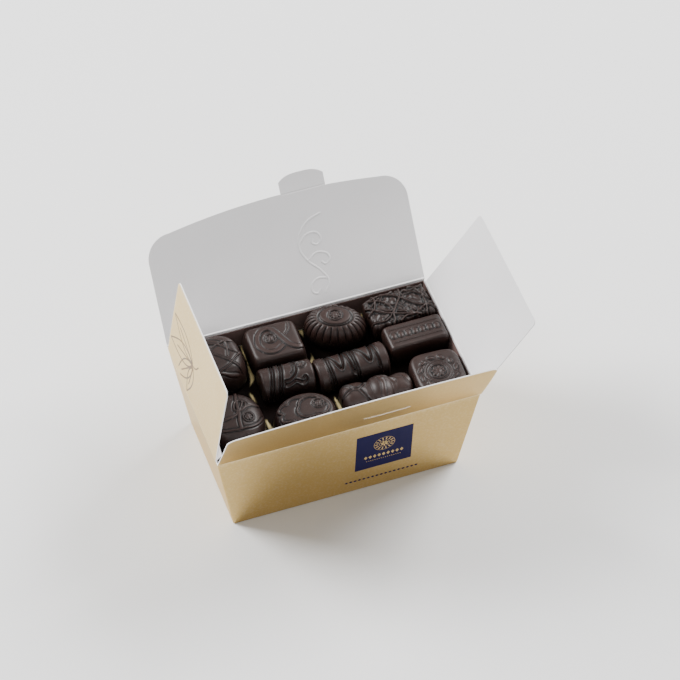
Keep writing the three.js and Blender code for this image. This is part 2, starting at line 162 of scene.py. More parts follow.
def rgb(code):
    """Linear colour of a hexadecimal screen colour."""
    parts = [int(code[i:i + 2], 16) / 255 for i in (0, 2, 4)]
    return [c / 12.92 if c <= 0.04045 else ((c + 0.055) / 1.055) ** 2.4 for c in parts] + [1.0]


def finish(name, light, dark, patch, amount, grain=(2500.0, 300.0, 0.4), depth=0.00002, bare=None,
           wear=0.0, by_attribute=(), **sockets):
    """A mottled, grained finish. Each pair in by_attribute is an attribute and the colour it brings."""
    material = bpy.data.materials.new(name)
    material.use_nodes = True
    tree = material.node_tree

    def effect(group, output, fed):
        return node(tree, "ShaderNodeGroup", fed, node_tree=group).outputs[output]
    colour = effect(MOTTLE, "Colour", {
        "Scale": patch, "Amount": amount, "Light": rgb(light), "Dark": rgb(dark)})
    if bare:
        colour = effect(WORN, "Colour", {"Colour": colour, "Bare": rgb(bare), "Amount": wear})
    for title, code in by_attribute:
        mask = node(tree, "ShaderNodeAttribute", attribute_name=title)
        colour = blend_colours(tree, mask.outputs["Fac"], colour, rgb(code))
    fine, coarse, share = grain
    pits = effect(GRAIN, "Height", {"Fine Scale": fine, "Coarse Scale": coarse, "Coarse Share": share})
    bump = node(tree, "ShaderNodeBump", {"Distance": depth, "Height": pits})
    surface = tree.nodes["Principled BSDF"]
    tree.links.new(colour, surface.inputs["Base Color"])
    tree.links.new(bump.outputs["Normal"], surface.inputs["Normal"])
    for title, value in sockets.items():
        surface.inputs[title.replace("_", " ")].default_value = value
    return material


PRINT_GRAIN = 0.00001
gold_print = finish("gold printed card", "cbae72", "ba9c61", patch=45, amount=0.35, depth=PRINT_GRAIN,
                    bare="f2e8d0", wear=0.5, Metallic=0.93, Roughness=0.33,
                    Specular_Tint=(0.97, 0.89, 0.72, 1.0))
# Painted light: a lighter, less metallic copy of the gold print for the left flap's outer face, standing in
# for the light that it catches.
gold_print_painted_light = finish("gold printed card with painted light", "ddc286", "d2b573", patch=45, amount=0.5,
                    depth=PRINT_GRAIN, bare="f4ecda", wear=0.5, Metallic=0.6, Roughness=0.42)
white_card = finish("white card", "eeecec", "e6e4e5", patch=30, amount=0.6, grain=(3200.0, 500.0, 0.5),
                    depth=PRINT_GRAIN, Roughness=0.6, Specular_IOR_Level=0.3)
cut_edge = finish("cut card edge", "faf9f8", "efedeb", patch=900, amount=0.6, Roughness=0.8)
# Painted highlight: a pale cream line along the outside of each fold, where the bend catches the light.
fold_line_painted_highlight = finish("fold line with painted highlight", "f1e3bd", "dcc88f", patch=700, amount=0.8, Metallic=0.35,
                      Roughness=0.4)
brown_lining = finish("brown lining", "6c5854", "5d4b47", patch=50, amount=0.6, Roughness=0.5,
                      Specular_IOR_Level=0.3)
chocolate = finish("dark chocolate", "271611", "1b0f0c", patch=140, amount=0.7,
                   grain=(2600.0, 420.0, 0.35), depth=0.00004,
                   # The groove attribute brings painted shade: near black in the grooves at the foot of
                   # raised lines and low on each chocolate's sides.
                   by_attribute=(("relief", "281712"), ("groove", "040201")),
                   Roughness=0.45, Specular_IOR_Level=0.38)
shaded_chocolate = finish("chocolate in shade", "0d0706", "080403", patch=140, amount=0.5,
                          Roughness=0.6, Specular_IOR_Level=0.1)
navy_print = finish("navy print", "161444", "120f38", patch=60, amount=0.5, depth=PRINT_GRAIN,
                    Roughness=0.5, Specular_IOR_Level=0.1)
ornament_gold = finish("ornament gold", "dcbf7c", "c9a862", patch=200, amount=0.5, Metallic=0.8,
                       Roughness=0.35)
drawn_line = finish("drawn line", "86683a", "6f6660", patch=160, amount=0.8, Metallic=0.3,
                    Roughness=0.5)


def gold_pad_with_painted_shade():
    """The gold pad with painted shade: near black, and metallic gold where its gold attribute is high."""
    material = finish("gold pad with painted shade", "130b09", "0a0504", patch=80, amount=0.6,
                      by_attribute=(("gold", "f3dfa6"),), Roughness=0.5, Specular_IOR_Level=0.05)
    tree = material.node_tree
    lit_share = node(tree, "ShaderNodeAttribute", attribute_name="gold")
    shine = product(tree, lit_share.outputs["Fac"], 0.8)
    tree.links.new(shine, tree.nodes["Principled BSDF"].inputs["Metallic"])
    return material


gold_pad_painted_shade = gold_pad_with_painted_shade()


# Meshes

def piece_from(name, points, faces, materials, slots=None, smooth=True, sharp=None):
    """A piece in metres at the origin, from points in millimetres."""
    mesh = bpy.data.meshes.new(name)
    mesh.from_pydata([tuple(p) for p in np.asarray(points, float) * MM], [], [tuple(f) for f in faces])
    for material in materials:
        mesh.materials.append(material)
    if slots is not None:
        mesh.polygons.foreach_set("material_index", np.asarray(slots, np.int32))
    mesh.polygons.foreach_set("use_smooth", np.full(len(mesh.polygons), smooth))
    mesh.validate()
    if sharp:
        mesh.set_sharp_from_angle(angle=math.radians(sharp))
    mesh.update()
    made = bpy.data.objects.new(name, mesh)
    bpy.context.scene.collection.objects.link(made)
    return made


def write_attribute(piece, name, values):
    attribute = piece.data.attributes.new(name, "FLOAT", "POINT")
    attribute.data.foreach_set("value", np.asarray(values, np.float32))


def grid_faces(rows, columns, closed=False, start=0):
    """Quads of a grid whose points run along its rows."""
    wrap = columns if closed else columns - 1
    row, column = np.meshgrid(np.arange(rows - 1), np.arange(wrap), indexing="ij")
    after = (column + 1) % columns
    here, above_it = row * columns, (row + 1) * columns
    quads = np.stack([here + column, here + after, above_it + after, above_it + column], -1)
    return quads.reshape(-1, 4) + start


def grid_border(rows, columns):
    """The grid's outer points in order, counterclockwise."""
    right = [row * columns + columns - 1 for row in range(1, rows)]
    back = [(rows - 1) * columns + column for column in range(columns - 2, -1, -1)]
    left = [row * columns for row in range(rows - 2, 0, -1)]
    return list(range(columns)) + right + back + left


def sheet_faces(rows, columns):
    """Faces of two like grids, one behind the other, with their edges closed: front, back, edges."""
    count = rows * columns
    border = grid_border(rows, columns)
    front = [tuple(f) for f in grid_faces(rows, columns)]
    back = [tuple(f) for f in grid_faces(rows, columns, start=count)[:, ::-1]]
    edges = [(a, a + count, b + count, b) for a, b in zip(border, border[1:] + border[:1])]
    return front, back, edges


# Carton

def half_length(z):
    return TOP_LENGTH / 2 - END_TAPER * (1 - z / HEIGHT)


def half_width(z):
    return TOP_WIDTH / 2 - SIDE_TAPER * (1 - z / HEIGHT)


def rounded_ring(half_x, half_y, radius, along=24, around=6):
    """Points of a rectangle with rounded corners, counterclockwise from above."""
    corners = [(half_x - radius, half_y - radius, 0), (radius - half_x, half_y - radius, 90),
               (radius - half_x, radius - half_y, 180), (half_x - radius, radius - half_y, 270)]
    ring = []
    for i, (x, y, turn) in enumerate(corners):
        for step in range(around + 1):
            angle = math.radians(turn + 90 * step / around)
            ring.append((x + radius * math.cos(angle), y + radius * math.sin(angle)))
        ahead = corners[(i + 1) % 4]
        angle = math.radians(ahead[2])
        goal = (ahead[0] + radius * math.cos(angle), ahead[1] + radius * math.sin(angle))
        here = ring[-1]
        for step in range(1, along):
            share = step / along
            ring.append((here[0] + (goal[0] - here[0]) * share, here[1] + (goal[1] - here[1]) * share))
    return np.array(ring)


def wall_ring(z, inset, radius):
    """The walls' outline at a height, inset from their outer face."""
    outline = rounded_ring(half_length(z) - inset, half_width(z) - inset, radius)
    return np.column_stack([outline, np.full(len(outline), z)])


def tray_shell():
    """Walls and base of the carton: printed outside, white inside, with bare cut edges at the rim."""
    rim = HEIGHT - RIM_DROP
    bevel = RIM_BEVEL / 2
    foot, foot_tuck = 0.5, 0.25
    outer_z = np.concatenate([[0.0, 0.15, foot], np.linspace(1.5, rim - 0.6, 22), [rim - RIM_BEVEL, rim]])
    inner_z = np.concatenate([[rim, rim - RIM_BEVEL], np.linspace(rim - 0.6, CARD, 16)])
    rings = []
    for z in outer_z:
        tuck = foot_tuck * (1 - min(z / foot, 1.0)) ** 2
        tuck += bevel * max(0.0, (z - rim + RIM_BEVEL) / RIM_BEVEL)
        rings.append(wall_ring(z, tuck, radius=0.9))
    for z in inner_z:
        rings.append(wall_ring(z, CARD - (bevel if z == rim else 0.0), radius=0.5))
    points = np.concatenate(rings)
    around = len(rings[0])
    last = (len(rings) - 1) * around
    faces = [tuple(f) for f in grid_faces(len(rings), around, closed=True)]
    faces += [tuple(range(around))[::-1], tuple(range(last, last + around))]
    slots = [0] * around * (len(outer_z) - 1) + [2] * around + [1] * around * (len(inner_z) - 1) + [0, 1]
    tray = piece_from("carton_walls", points, faces, [gold_print, white_card, cut_edge], slots, sharp=35)
    write_attribute(tray, "rim", np.exp(-(rim - points[:, 2]) / WORN_REACH))
    return tray


def flap_matrix(flap):
    """From a flap's flat sheet, y up from its fold, to its place on the carton."""
    edge_x = {0: 0, 180: 0, -90: TOP_LENGTH / 2, 90: -TOP_LENGTH / 2}[flap["heading"]]
    edge_y = {0: TOP_WIDTH / 2, 180: -TOP_WIDTH / 2, -90: 0, 90: 0}[flap["heading"]]
    return (Matrix.Translation((edge_x, edge_y, HEIGHT))
            @ Matrix.Rotation(math.radians(flap["heading"]), 4, "Z")
            @ Matrix.Rotation(math.radians(flap["angle"]), 4, "X"))


def moved(points, matrix):
    points = np.asarray(points, float)
    turn = np.array(matrix.to_3x3())
    return points @ turn.T + np.array(matrix.translation)


def flap_edge(flap, x):
    """Height of a flap's free edge over x, with its arch and round corners."""
    reach = flap["half"] - flap["corner"]
    held = np.clip(x, -reach, reach)
    arch = flap["crown"] - flap["drop"] * ((held - flap["centre"]) / reach) ** 2
    past = np.clip(np.abs(x) - reach, 0, flap["corner"])
    return arch - flap["corner"] + np.sqrt(np.maximum(flap["corner"] ** 2 - past ** 2, 0))


def card_flap(name, matrix, columns, top, rows, warp, outside):
    """A flap of card. Local +Z is its inner face; the outer one is printed."""
    x = np.broadcast_to(columns, (rows, len(columns)))
    y = CREASE_GAP + (top - CREASE_GAP) * np.linspace(0, 1, rows)[:, None]
    middle = warp(x, y)
    points = np.concatenate([np.stack([x, y, middle + side * CARD / 2], -1).reshape(-1, 3)
                             for side in (1, -1)])
    inner, outer, edges = sheet_faces(rows, len(columns))
    slots = [1] * len(inner) + [0] * len(outer) + [2] * len(edges)
    piece = piece_from(name, moved(points, matrix), inner + outer + edges,
                       [outside, white_card, cut_edge], slots, sharp=35)
    x, y = points[:, 0], points[:, 1]
    reach = np.minimum.reduce([np.interp(x, columns, top) - y, columns[-1] - x, x - columns[0]])
    write_attribute(piece, "rim", np.exp(-np.maximum(reach, 0) / WORN_REACH))
    return piece


def columns_of(flap, extra=()):
    """Columns that crowd where the corners round off."""
    reach = flap["half"] - flap["corner"]
    corner = reach + flap["corner"] * np.sin(np.linspace(0, math.pi / 2, 18))
    middle = np.linspace(-reach, reach, 90)
    return np.unique(np.round(np.concatenate([-corner[::-1], middle, corner, list(extra)]), 4))


def gentle_bow(width, depth, sway=0.0):
    """A soft outward bow across a flap of this width, swaying more at one end."""
    def warp(x, y):
        share = np.clip((y - CREASE_GAP) / (width - CREASE_GAP), 0, 1)
        return -depth * np.sin(np.pi * share) + sway * (x / (TOP_LENGTH / 2)) * (y / width) ** 2
    return warp


lid_bow, end_bow, front_bow = gentle_bow(57, 0.25, 0.1), gentle_bow(46, 0.2), gentle_bow(46, 0.3, -0.1)


def lid_sheet():
    """The lid, cut lower where the tab folds from its edge."""
    step = 0.01
    left = TAB_CENTRE - TAB_WIDTH / 2 - TAB_CLEARANCE
    right = TAB_CENTRE + TAB_WIDTH / 2 + TAB_CLEARANCE
    columns = columns_of(LID, [left - step, left, right, right + step])
    top = flap_edge(LID, columns)
    inside = (columns >= left) & (columns <= right)
    top = np.where(inside, np.minimum(top, TAB_CREASE - CREASE_GAP), top)
    return card_flap("lid_card", flap_matrix(LID), columns, top, 40, lid_bow, gold_print)


def tab_matrix():
    return flap_matrix(LID) @ Matrix.Translation((TAB_CENTRE, TAB_CREASE, 0))


def tab_sheet():
    """The tuck tab, with a crowned edge."""
    half, side_inset, shoulder = TAB_WIDTH / 2, 0.35, TAB_SIDE - 0.6
    columns = np.concatenate([[-half], np.linspace(-half + side_inset, half - side_inset, 33), [half]])
    top = shoulder + (TAB_CROWN - shoulder) * (1 - np.clip(np.abs(columns) / half, 0, 1) ** 3.2)
    return card_flap("tab_card", tab_matrix(), columns, top, 10, gentle_bow(9, 0.05), gold_print)


def slit_curve(x):
    """The slit's height on the front flap, whose local x runs the other way."""
    along = 2 * (x + TAB_CENTRE) / SLIT_LENGTH
    return SLIT_HEIGHT + SLIT_SAG * along ** 4


def front_sheet():
    """The front flap, with the slit for the tab and the lip that the tab has pressed out below it."""
    half_slit, lip_depth, lip_reach = SLIT_LENGTH / 2, 0.3, 0.9
    slit_columns = np.linspace(-12.5, 12.5, 80) - TAB_CENTRE
    columns = np.unique(np.round(np.concatenate([columns_of(FRONT), slit_columns]), 4))

    def bow_and_lip(x, y):
        along = np.abs(x + TAB_CENTRE) / half_slit
        fade = np.clip((1.06 - along) / 0.1, 0, 1)
        below = slit_curve(np.clip(x, -TAB_CENTRE - half_slit, -TAB_CENTRE + half_slit)) - y
        lip = lip_depth * fade * np.where(below > 0, np.exp(-below / lip_reach), 0)
        return front_bow(x, y) - lip

    sheet = card_flap("front_card", flap_matrix(FRONT), columns, flap_edge(FRONT, columns), 150,
                      bow_and_lip, gold_print)
    steps = np.linspace(-half_slit, half_slit, 33) - TAB_CENTRE
    ring = ([(x, slit_curve(x) - SLIT_HALF_GAP) for x in steps]
            + [(x, slit_curve(x) + SLIT_HALF_GAP) for x in steps[::-1]])
    count = len(ring)
    points = [(x, y, z) for x, y in ring for z in (-3, 3)]
    faces = [(2 * i, 2 * ((i + 1) % count), 2 * ((i + 1) % count) + 1, 2 * i + 1) for i in range(count)]
    faces += [tuple(range(0, 2 * count, 2))[::-1], tuple(range(1, 2 * count, 2))]
    cutter = piece_from("slit_cutter", moved(points, flap_matrix(FRONT)), faces, [cut_edge], smooth=False)
    cut_through(sheet, cutter)
    return sheet


def applied(piece):
    """The piece's mesh with its modifiers applied."""
    graph = bpy.context.evaluated_depsgraph_get()
    mesh = bpy.data.meshes.new_from_object(piece.evaluated_get(graph), preserve_all_data_layers=True,
                                           depsgraph=graph)
    piece.modifiers.clear()
    piece.data = mesh
    return piece


def cut_through(piece, cutter):
    cut = piece.modifiers.new("cut", "BOOLEAN")
    cut.operation = "DIFFERENCE"
    cut.solver = "EXACT"
    cut.material_mode = "TRANSFER"
    cut.object = cutter
    applied(piece)
    bpy.data.objects.remove(cutter)


def recalculated(piece):
    """The same piece with its normals turned outwards."""
    shape = bmesh.new()
    shape.from_mesh(piece.data)
    bmesh.ops.recalc_face_normals(shape, faces=shape.faces)
    shape.to_mesh(piece.data)
    shape.free()
    return piece


def folded_strip(name, stations, first, second, matrix, materials, sides=(0, 1)):
    """A strip of card along a fold. Its section lies between two lines, one for each of its sides."""
    section = np.concatenate([first, second[::-1]])
    count, steps = len(section), len(first) - 1
    points = [(x, y, z) for x in stations for y, z in section]
    faces = [tuple(f) for f in grid_faces(len(stations), count, closed=True)]
    faces += [tuple(range(count))[::-1], tuple(range(len(points) - count, len(points)))]
    slots = ([sides[0]] * steps + [2] + [sides[1]] * steps + [2]) * (len(stations) - 1) + [2, 2]
    return recalculated(piece_from(name, moved(points, matrix), faces, materials, slots, sharp=50))


def crease_strip(name, flap):
    """The bent card between a wall and its flap, and where its bend starts and ends, in metres."""
    up = math.radians(flap["angle"])
    lean = math.atan2(END_TAPER if abs(flap["heading"]) == 90 else SIDE_TAPER, HEIGHT)
    below, beyond = RIM_DROP + RIM_BEVEL, CREASE_GAP + CREASE_OVERLAP
    start = np.array([-CARD / 2 - math.sin(lean) * below, -math.cos(lean) * below])
    middle = np.array([-0.04, 0.0])
    end = np.array([math.cos(up), math.sin(up)]) * beyond
    t = np.linspace(0, 1, 9)[:, None]
    path = (1 - t) ** 2 * start + 2 * t * (1 - t) * middle + t * t * end
    along = np.gradient(path, axis=0)
    along /= np.linalg.norm(along, axis=1)[:, None]
    across = np.column_stack([along[:, 1], -along[:, 0]])
    bulge = np.sin(math.pi * t)
    half_card = CARD / 2 * (1 + 0.05 * bulge)
    outer = path + across * half_card
    inner = path - across * (half_card + CREASE_BEAD * bulge ** 2)
    half = flap["half"] - CREASE_INSET
    matrix = flap_matrix(flap) @ Matrix.Rotation(-up, 4, "X")
    strip = folded_strip(name, np.linspace(-half, half, 61), outer, inner, matrix,
                         [fold_line_painted_highlight, cut_edge, cut_edge])
    bend = moved([[0, *start], [0, *end]], matrix) * MM
    return strip, bend[0], bend[1]


def tab_crease():
    """The bent card between the lid and its tab, and where its bend starts and ends, in metres."""
    half, beyond = TAB_WIDTH / 2 - CREASE_INSET, CREASE_GAP + CREASE_OVERLAP
    y = np.linspace(-beyond, beyond, 7)
    dip = -0.1 * np.exp(-(y / 0.3) ** 2)
    inner, outer = (np.column_stack([y, dip + side * CARD / 2]) for side in (1, -1))
    strip = folded_strip("tab_fold_card", np.linspace(-half, half, 25), inner, outer, tab_matrix(),
                         [gold_print, white_card, cut_edge], sides=(1, 0))
    bend = moved([[0, -CREASE_GAP, 0], [0, CREASE_GAP, 0]], tab_matrix()) * MM
    return strip, bend[0], bend[1]


# Pad, label and ornaments

# Where the gold pad shows lit in the gaps between the chocolates, with painted shade all round: x, y and half
# width along each line.
# Where the half width is below nothing, the line is broken.
LIT_PAD_LINES = [
    [(-28.6, 37.5, 0.5), (-28.9, 33, 0.8), (-29.3, 27, 0.1), (-29.9, 20, 0.6), (-30.4, 15, 0.9),
     (-32.4, 11.5, 0.1), (-34.6, 8.4, -0.3), (-34.2, 4.6, 0.5), (-33.8, 1.6, 0.3), (-33.2, -2, -0.3),
     (-32.7, -8, -0.3), (-32.4, -13, 0.3), (-32, -17, 0.8), (-31.7, -21, 0.6)],
    [(0.9, 37.5, 0.2), (0.9, 35, 0.8), (0.9, 31, -0.2), (0.8, 24, -0.3), (0.7, 18.5, 0.1),
     (-0.6, 14.4, 1.1), (-2, 11, 0.6), (-2.4, 8, 0.1)],
    [(2.3, -9, 0.1), (2.9, -15.5, 0.8), (3.2, -20, 0.4)],
    [(31.6, 37.5, 0.3), (31.6, 35.5, 0.6), (31.6, 33.5, 0.1)],
]


def pad_sheet():
    """The pad under the top layer: gold in the gaps that the light reaches, painted shade elsewhere."""
    bottom, lit_fade = PAD_TOP - PAD_CARD, 0.5
    reach_x, reach_y = half_length(bottom) - PAD_INSET, half_width(bottom) - PAD_INSET
    x, y = np.meshgrid(np.linspace(-reach_x, reach_x, 230), np.linspace(-reach_y, reach_y, 130))
    faces = sum(sheet_faces(*x.shape), [])
    x, y = x.ravel(), y.ravel()
    points = np.concatenate([np.column_stack([x, y, np.full(x.size, z)]) for z in (PAD_TOP, bottom)])
    pad = piece_from("gold_pad", points, faces, [gold_pad_painted_shade], sharp=40)
    gold = np.zeros(x.size)
    for line in LIT_PAD_LINES:
        for lit_x, lit_y, half in smooth_line(line):
            away = np.hypot(x - lit_x, y - lit_y)
            gold = np.maximum(gold, np.clip((half + 0.3 - away) / lit_fade, 0, 1))
    write_attribute(pad, "gold", np.concatenate([gold, gold]))
    return pad


def ornament_tree(name, inputs, made_from):
    """A geometry tree with named inputs, whose instances are made real and given the finish."""
    tree = bpy.data.node_groups.new(name, "GeometryNodeTree")
    tree.interface.new_socket("Geometry", in_out="INPUT", socket_type="NodeSocketGeometry")
    for title, (kind, value) in inputs.items():
        tree.interface.new_socket(title, in_out="INPUT", socket_type=kind).default_value = value
    tree.interface.new_socket("Finish", in_out="INPUT", socket_type="NodeSocketMaterial")
    tree.interface.new_socket("Geometry", in_out="OUTPUT", socket_type="NodeSocketGeometry")
    given = node(tree, "NodeGroupInput").outputs
    real = node(tree, "GeometryNodeRealizeInstances", {"Geometry": made_from(tree, given)})
    dress = node(tree, "GeometryNodeSetMaterial",
                 {"Geometry": real.outputs["Geometry"], "Material": given["Finish"]})
    node(tree, "NodeGroupOutput", {"Geometry": dress.outputs["Geometry"]})
    return tree


def raised_lines(tree, given):
    """Round lines along the edges of a mesh, flattened on to its plane."""
    path = node(tree, "GeometryNodeMeshToCurve", {"Mesh": given["Geometry"]})
    section = node(tree, "GeometryNodeCurvePrimitiveCircle",
                   {"Resolution": 10, "Radius": product(tree, given["Line Width"], 0.5)})
    sweep = node(tree, "GeometryNodeCurveToMesh", {
        "Curve": path.outputs["Curve"], "Profile Curve": section.outputs["Curve"], "Fill Caps": True})
    flat = node(tree, "ShaderNodeCombineXYZ", {"X": 1, "Y": 1, "Z": given["Rise"]})
    press = node(tree, "GeometryNodeTransform",
                 {"Geometry": sweep.outputs["Mesh"], "Scale": flat.outputs["Vector"]})
    return press.outputs["Geometry"]


def repeated_motif(tree, given):
    """A flat lozenge or petal on every point, turned by the points' own turn attribute."""
    shape = node(tree, "GeometryNodeMeshCylinder",
                 {"Vertices": given["Sides"], "Radius": 0.5, "Depth": MOTIF_DEPTH * MM})
    turn = node(tree, "GeometryNodeInputNamedAttribute", {"Name": "turn"}, data_type="FLOAT")
    angles = node(tree, "ShaderNodeCombineXYZ", {"Z": turn.outputs["Attribute"]})
    rotation = node(tree, "FunctionNodeEulerToRotation", {"Euler": angles.outputs["Vector"]})
    size = node(tree, "ShaderNodeCombineXYZ", {"X": given["Length"], "Y": given["Width"], "Z": 1})
    set_out = node(tree, "GeometryNodeInstanceOnPoints", {
        "Points": given["Geometry"], "Instance": shape.outputs["Mesh"],
        "Rotation": rotation.outputs["Rotation"], "Scale": size.outputs["Vector"]})
    return set_out.outputs["Instances"]


RAISED_LINES = ornament_tree(
    "raised lines", {"Line Width": (FLOAT, 0.001), "Rise": (FLOAT, 0.2)}, raised_lines)
REPEATED_MOTIF = ornament_tree("repeated motif", {
    "Sides": ("NodeSocketInt", 16), "Length": (FLOAT, 0.002), "Width": (FLOAT, 0.001)}, repeated_motif)


def grown(piece, tree, values, matrix, surface=None):
    """The piece made by its geometry nodes, laid on a surface and put in its place."""
    modifier = piece.modifiers.new("nodes", "NODES")
    modifier.node_group = tree
    for socket in tree.interface.items_tree:
        if socket.in_out == "INPUT" and socket.name in values:
            modifier[socket.identifier] = values[socket.name]
    applied(piece)
    spots = np.zeros(len(piece.data.vertices) * 3)
    piece.data.vertices.foreach_get("co", spots)
    spots = spots.reshape(-1, 3) / MM
    if surface:
        spots[:, 2] += surface(spots[:, 0], spots[:, 1])
    piece.data.vertices.foreach_set("co", (moved(spots, matrix) * MM).ravel())
    piece.data.update()
    return piece


def bare_piece(name, points, edges=()):
    """Points and edges in millimetres, for a tree to work on."""
    mesh = bpy.data.meshes.new(name)
    mesh.from_pydata([(x * MM, y * MM, 0) for x, y in points], list(edges), [])
    piece = bpy.data.objects.new(name, mesh)
    bpy.context.scene.collection.objects.link(piece)
    return piece


def drawn(name, lines, width, rise, finish_used, matrix, surface=None):
    """Raised lines through plan points. Their rise is a share of their width."""
    points, edges = [], []
    for line in lines:
        first = len(points)
        points += list(smooth_line(line, 8))
        edges += [(i, i + 1) for i in range(first, len(points) - 1)]
    values = {"Line Width": width * MM, "Rise": rise, "Finish": finish_used}
    return grown(bare_piece(name, points, edges), RAISED_LINES, values, matrix, surface)


def motif(name, spots, sides, length, width, finish_used, matrix):
    """Flat motifs at spots of x, y and turn in degrees."""
    piece = bare_piece(name, [spot[:2] for spot in spots])
    write_attribute(piece, "turn", [math.radians(turn) for x, y, turn in spots])
    values = {"Sides": sides, "Length": length * MM, "Width": width * MM, "Finish": finish_used}
    return grown(piece, REPEATED_MOTIF, values, matrix)


def wall_matrix(out):
    """The front wall's plane: x to the right, y up from the rim's middle, z outwards."""
    lean = math.atan2(SIDE_TAPER, HEIGHT)
    return (Matrix.Translation((0, -TOP_WIDTH / 2, HEIGHT))
            @ Matrix.Rotation(math.pi / 2 + lean, 4, "X") @ Matrix.Translation((0, 0, out)))


def on_circle(x, y, radius, turn):
    return x + radius * math.cos(math.radians(turn)), y + radius * math.sin(math.radians(turn))


def ring_of(count, radius, x, y, start=0.0):
    """Spots evenly round a circle, each turned to point away from its middle."""
    turns = [start + 360 * i / count for i in range(count)]
    return [(*on_circle(x, y, radius, turn), turn) for turn in turns]


def circle_line(x, y, radius, count=24):
    return [on_circle(x, y, radius, 360 * i / count) for i in range(count + 1)]


def row_of(half_count, spacing, x, y, turn=0):
    """Spots in a row with its middle at x, y."""
    return [(x + spacing * i, y, turn) for i in range(-half_count, half_count + 1)]


def label_pieces():
    """A navy square with a gold flower and a row of lozenges, and a row of navy lozenges below it."""
    half = LABEL / 2
    corners = [(-half, -half), (half, -half), (half, half), (-half, half)]
    points = [(LABEL_X + x, LABEL_Y + y, z) for z in (0, LABEL_PAPER) for x, y in corners]
    faces = [(3, 2, 1, 0), (4, 5, 6, 7)] + [(i, (i + 1) % 4, 4 + (i + 1) % 4, 4 + i) for i in range(4)]
    plate = piece_from("label", moved(points, wall_matrix(LABEL_LIFT)), faces, [navy_print], smooth=False)
    on_label, on_wall = wall_matrix(ORNAMENT_LIFT), wall_matrix(PRINT_LIFT)
    flower_y = LABEL_Y + 4.2
    circles = [circle_line(LABEL_X, flower_y, radius) for radius in (2.5, 5.2)]
    return [
        plate,
        motif("label_petals", ring_of(14, 4.0, LABEL_X, flower_y), 16, 1.9, 0.6, ornament_gold, on_label),
        motif("label_heart", ring_of(7, 1.25, LABEL_X, flower_y, 12), 16, 1.6, 0.8, ornament_gold, on_label),
        drawn("label_rings", circles, 0.2, 0.2, ornament_gold, on_label),
        motif("label_lozenges", row_of(4, 2.25, LABEL_X, LABEL_Y - 4.7, 90), 4, 2.7, 1.7, ornament_gold,
              on_label),
        motif("label_dots", row_of(8, 1.05, LABEL_X, LABEL_Y - 7.9), 12, 0.5, 0.5, ornament_gold, on_label),
        motif("wall_lozenges", row_of(8, 2.2, 17.3, -46.3), 4, 1.9, 1.5, navy_print, on_wall),
    ]


def sprig():
    """A spray of leaves drawn on the outer face of the left flap."""
    lines = []
    for turn, length, half in ((-80, 19, 3.4), (-50, 27, 4.6), (-20, 31, 4.8), (10, 29, 4.2)):
        along = np.array([math.cos(math.radians(turn)), math.sin(math.radians(turn))])
        across = np.array([-along[1], along[0]])
        root = np.array([4.0, 22.0]) + along * 1.5
        for side in (-1, 1):
            lines.append([root + along * length * t + across * side * half * math.sin(math.pi * t ** 0.8)
                          for t in np.linspace(0, 1, 7)])
        lines.append([root + along * length * t for t in (0, 0.35, 0.7)])
    lines.append([[-1.5, 27], [1.2, 23.2], [4.5, 21.5], [6.4, 22.4]])
    flap_side, crease_side = 35.2, 1.2
    lines = [[p for p in line if p[0] < flap_side and p[1] > crease_side] for line in lines]
    lines = [line for line in lines if len(line) > 1]

    def outer_face(x, y):
        return end_bow(x, y) - CARD / 2
    return drawn("left_sprig", lines, 0.75, 0.1, drawn_line, flap_matrix(LEFT), outer_face)


def lid_flourish():
    """A blind embossed tendril inside the lid."""
    lines = [
        [[21, 44], [14, 41.5], [9, 36], [7.6, 29], [10.5, 22.5], [15.5, 17], [18.5, 11], [16, 5.5]],
        [[8.0, 31.6], [12, 35.2], [16.8, 35.4], [18.8, 32.0], [16.8, 29.4], [14.2, 30.6], [14.6, 32.6]],
        [[10.5, 22.5], [15, 25.5], [19.8, 24.4], [21.2, 21.2], [18.8, 19.2], [16.9, 20.8]],
        [[18, 12.5], [13.5, 13.2], [10, 11], [9.6, 7.6], [12, 6], [13.8, 7.8]],
    ]

    def inner_face(x, y):
        return lid_bow(x, y) + CARD / 2
    return drawn("lid_flourish", lines, 1.1, 0.26, white_card, flap_matrix(LID), inner_face)


def corner_ear():
    """The small folded ear at the foot of the left flap, by the front corner."""
    outline = [(-64.6, 54.9), (-61.9, 57.6), (-63.0, 65.6)]
    back, front = -35.7, -36.2
    points = [(x, y, z) for y in (front, back) for x, z in outline]
    faces = [(0, 1, 2), (5, 4, 3), (0, 3, 4, 1), (1, 4, 5, 2), (2, 5, 3, 0)]
    slots = [0, 0, 0, 1, 0]
    ear = piece_from("corner_ear", points, faces, [white_card, gold_print], slots, smooth=False)
    return recalculated(ear)


# Chocolates

def smooth_line(points, steps=10):
    """A dense Catmull-Rom line through plan points."""
    p = np.asarray(points, float)
    p = np.vstack([2 * p[0] - p[1], p, 2 * p[-1] - p[-2]])
    t = np.linspace(0, 1, steps, endpoint=False)[:, None]
    parts = []
    for before, here, ahead, after in zip(p, p[1:], p[2:], p[3:]):
        square = 2 * before - 5 * here + 4 * ahead - after
        cube = 3 * (here - ahead) + after - before
        parts.append(0.5 * (2 * here + (ahead - before) * t + square * t ** 2 + cube * t ** 3))
    return np.vstack(parts + [p[-2:-1]])


def smooth_lines(*lines):
    return [smooth_line(line) for line in lines]


def away_from(line, x, y):
    """Distance of plan points from a line."""
    nearest = np.full(x.shape, 1e9)
    for a, b in zip(line[:-1], line[1:]):
        run = b - a
        length = max(float(run @ run), 1e-12)
        t = np.clip(((x - a[0]) * run[0] + (y - a[1]) * run[1]) / length, 0, 1)
        nearest = np.minimum(nearest, np.hypot(x - a[0] - t * run[0], y - a[1] - t * run[1]))
    return nearest


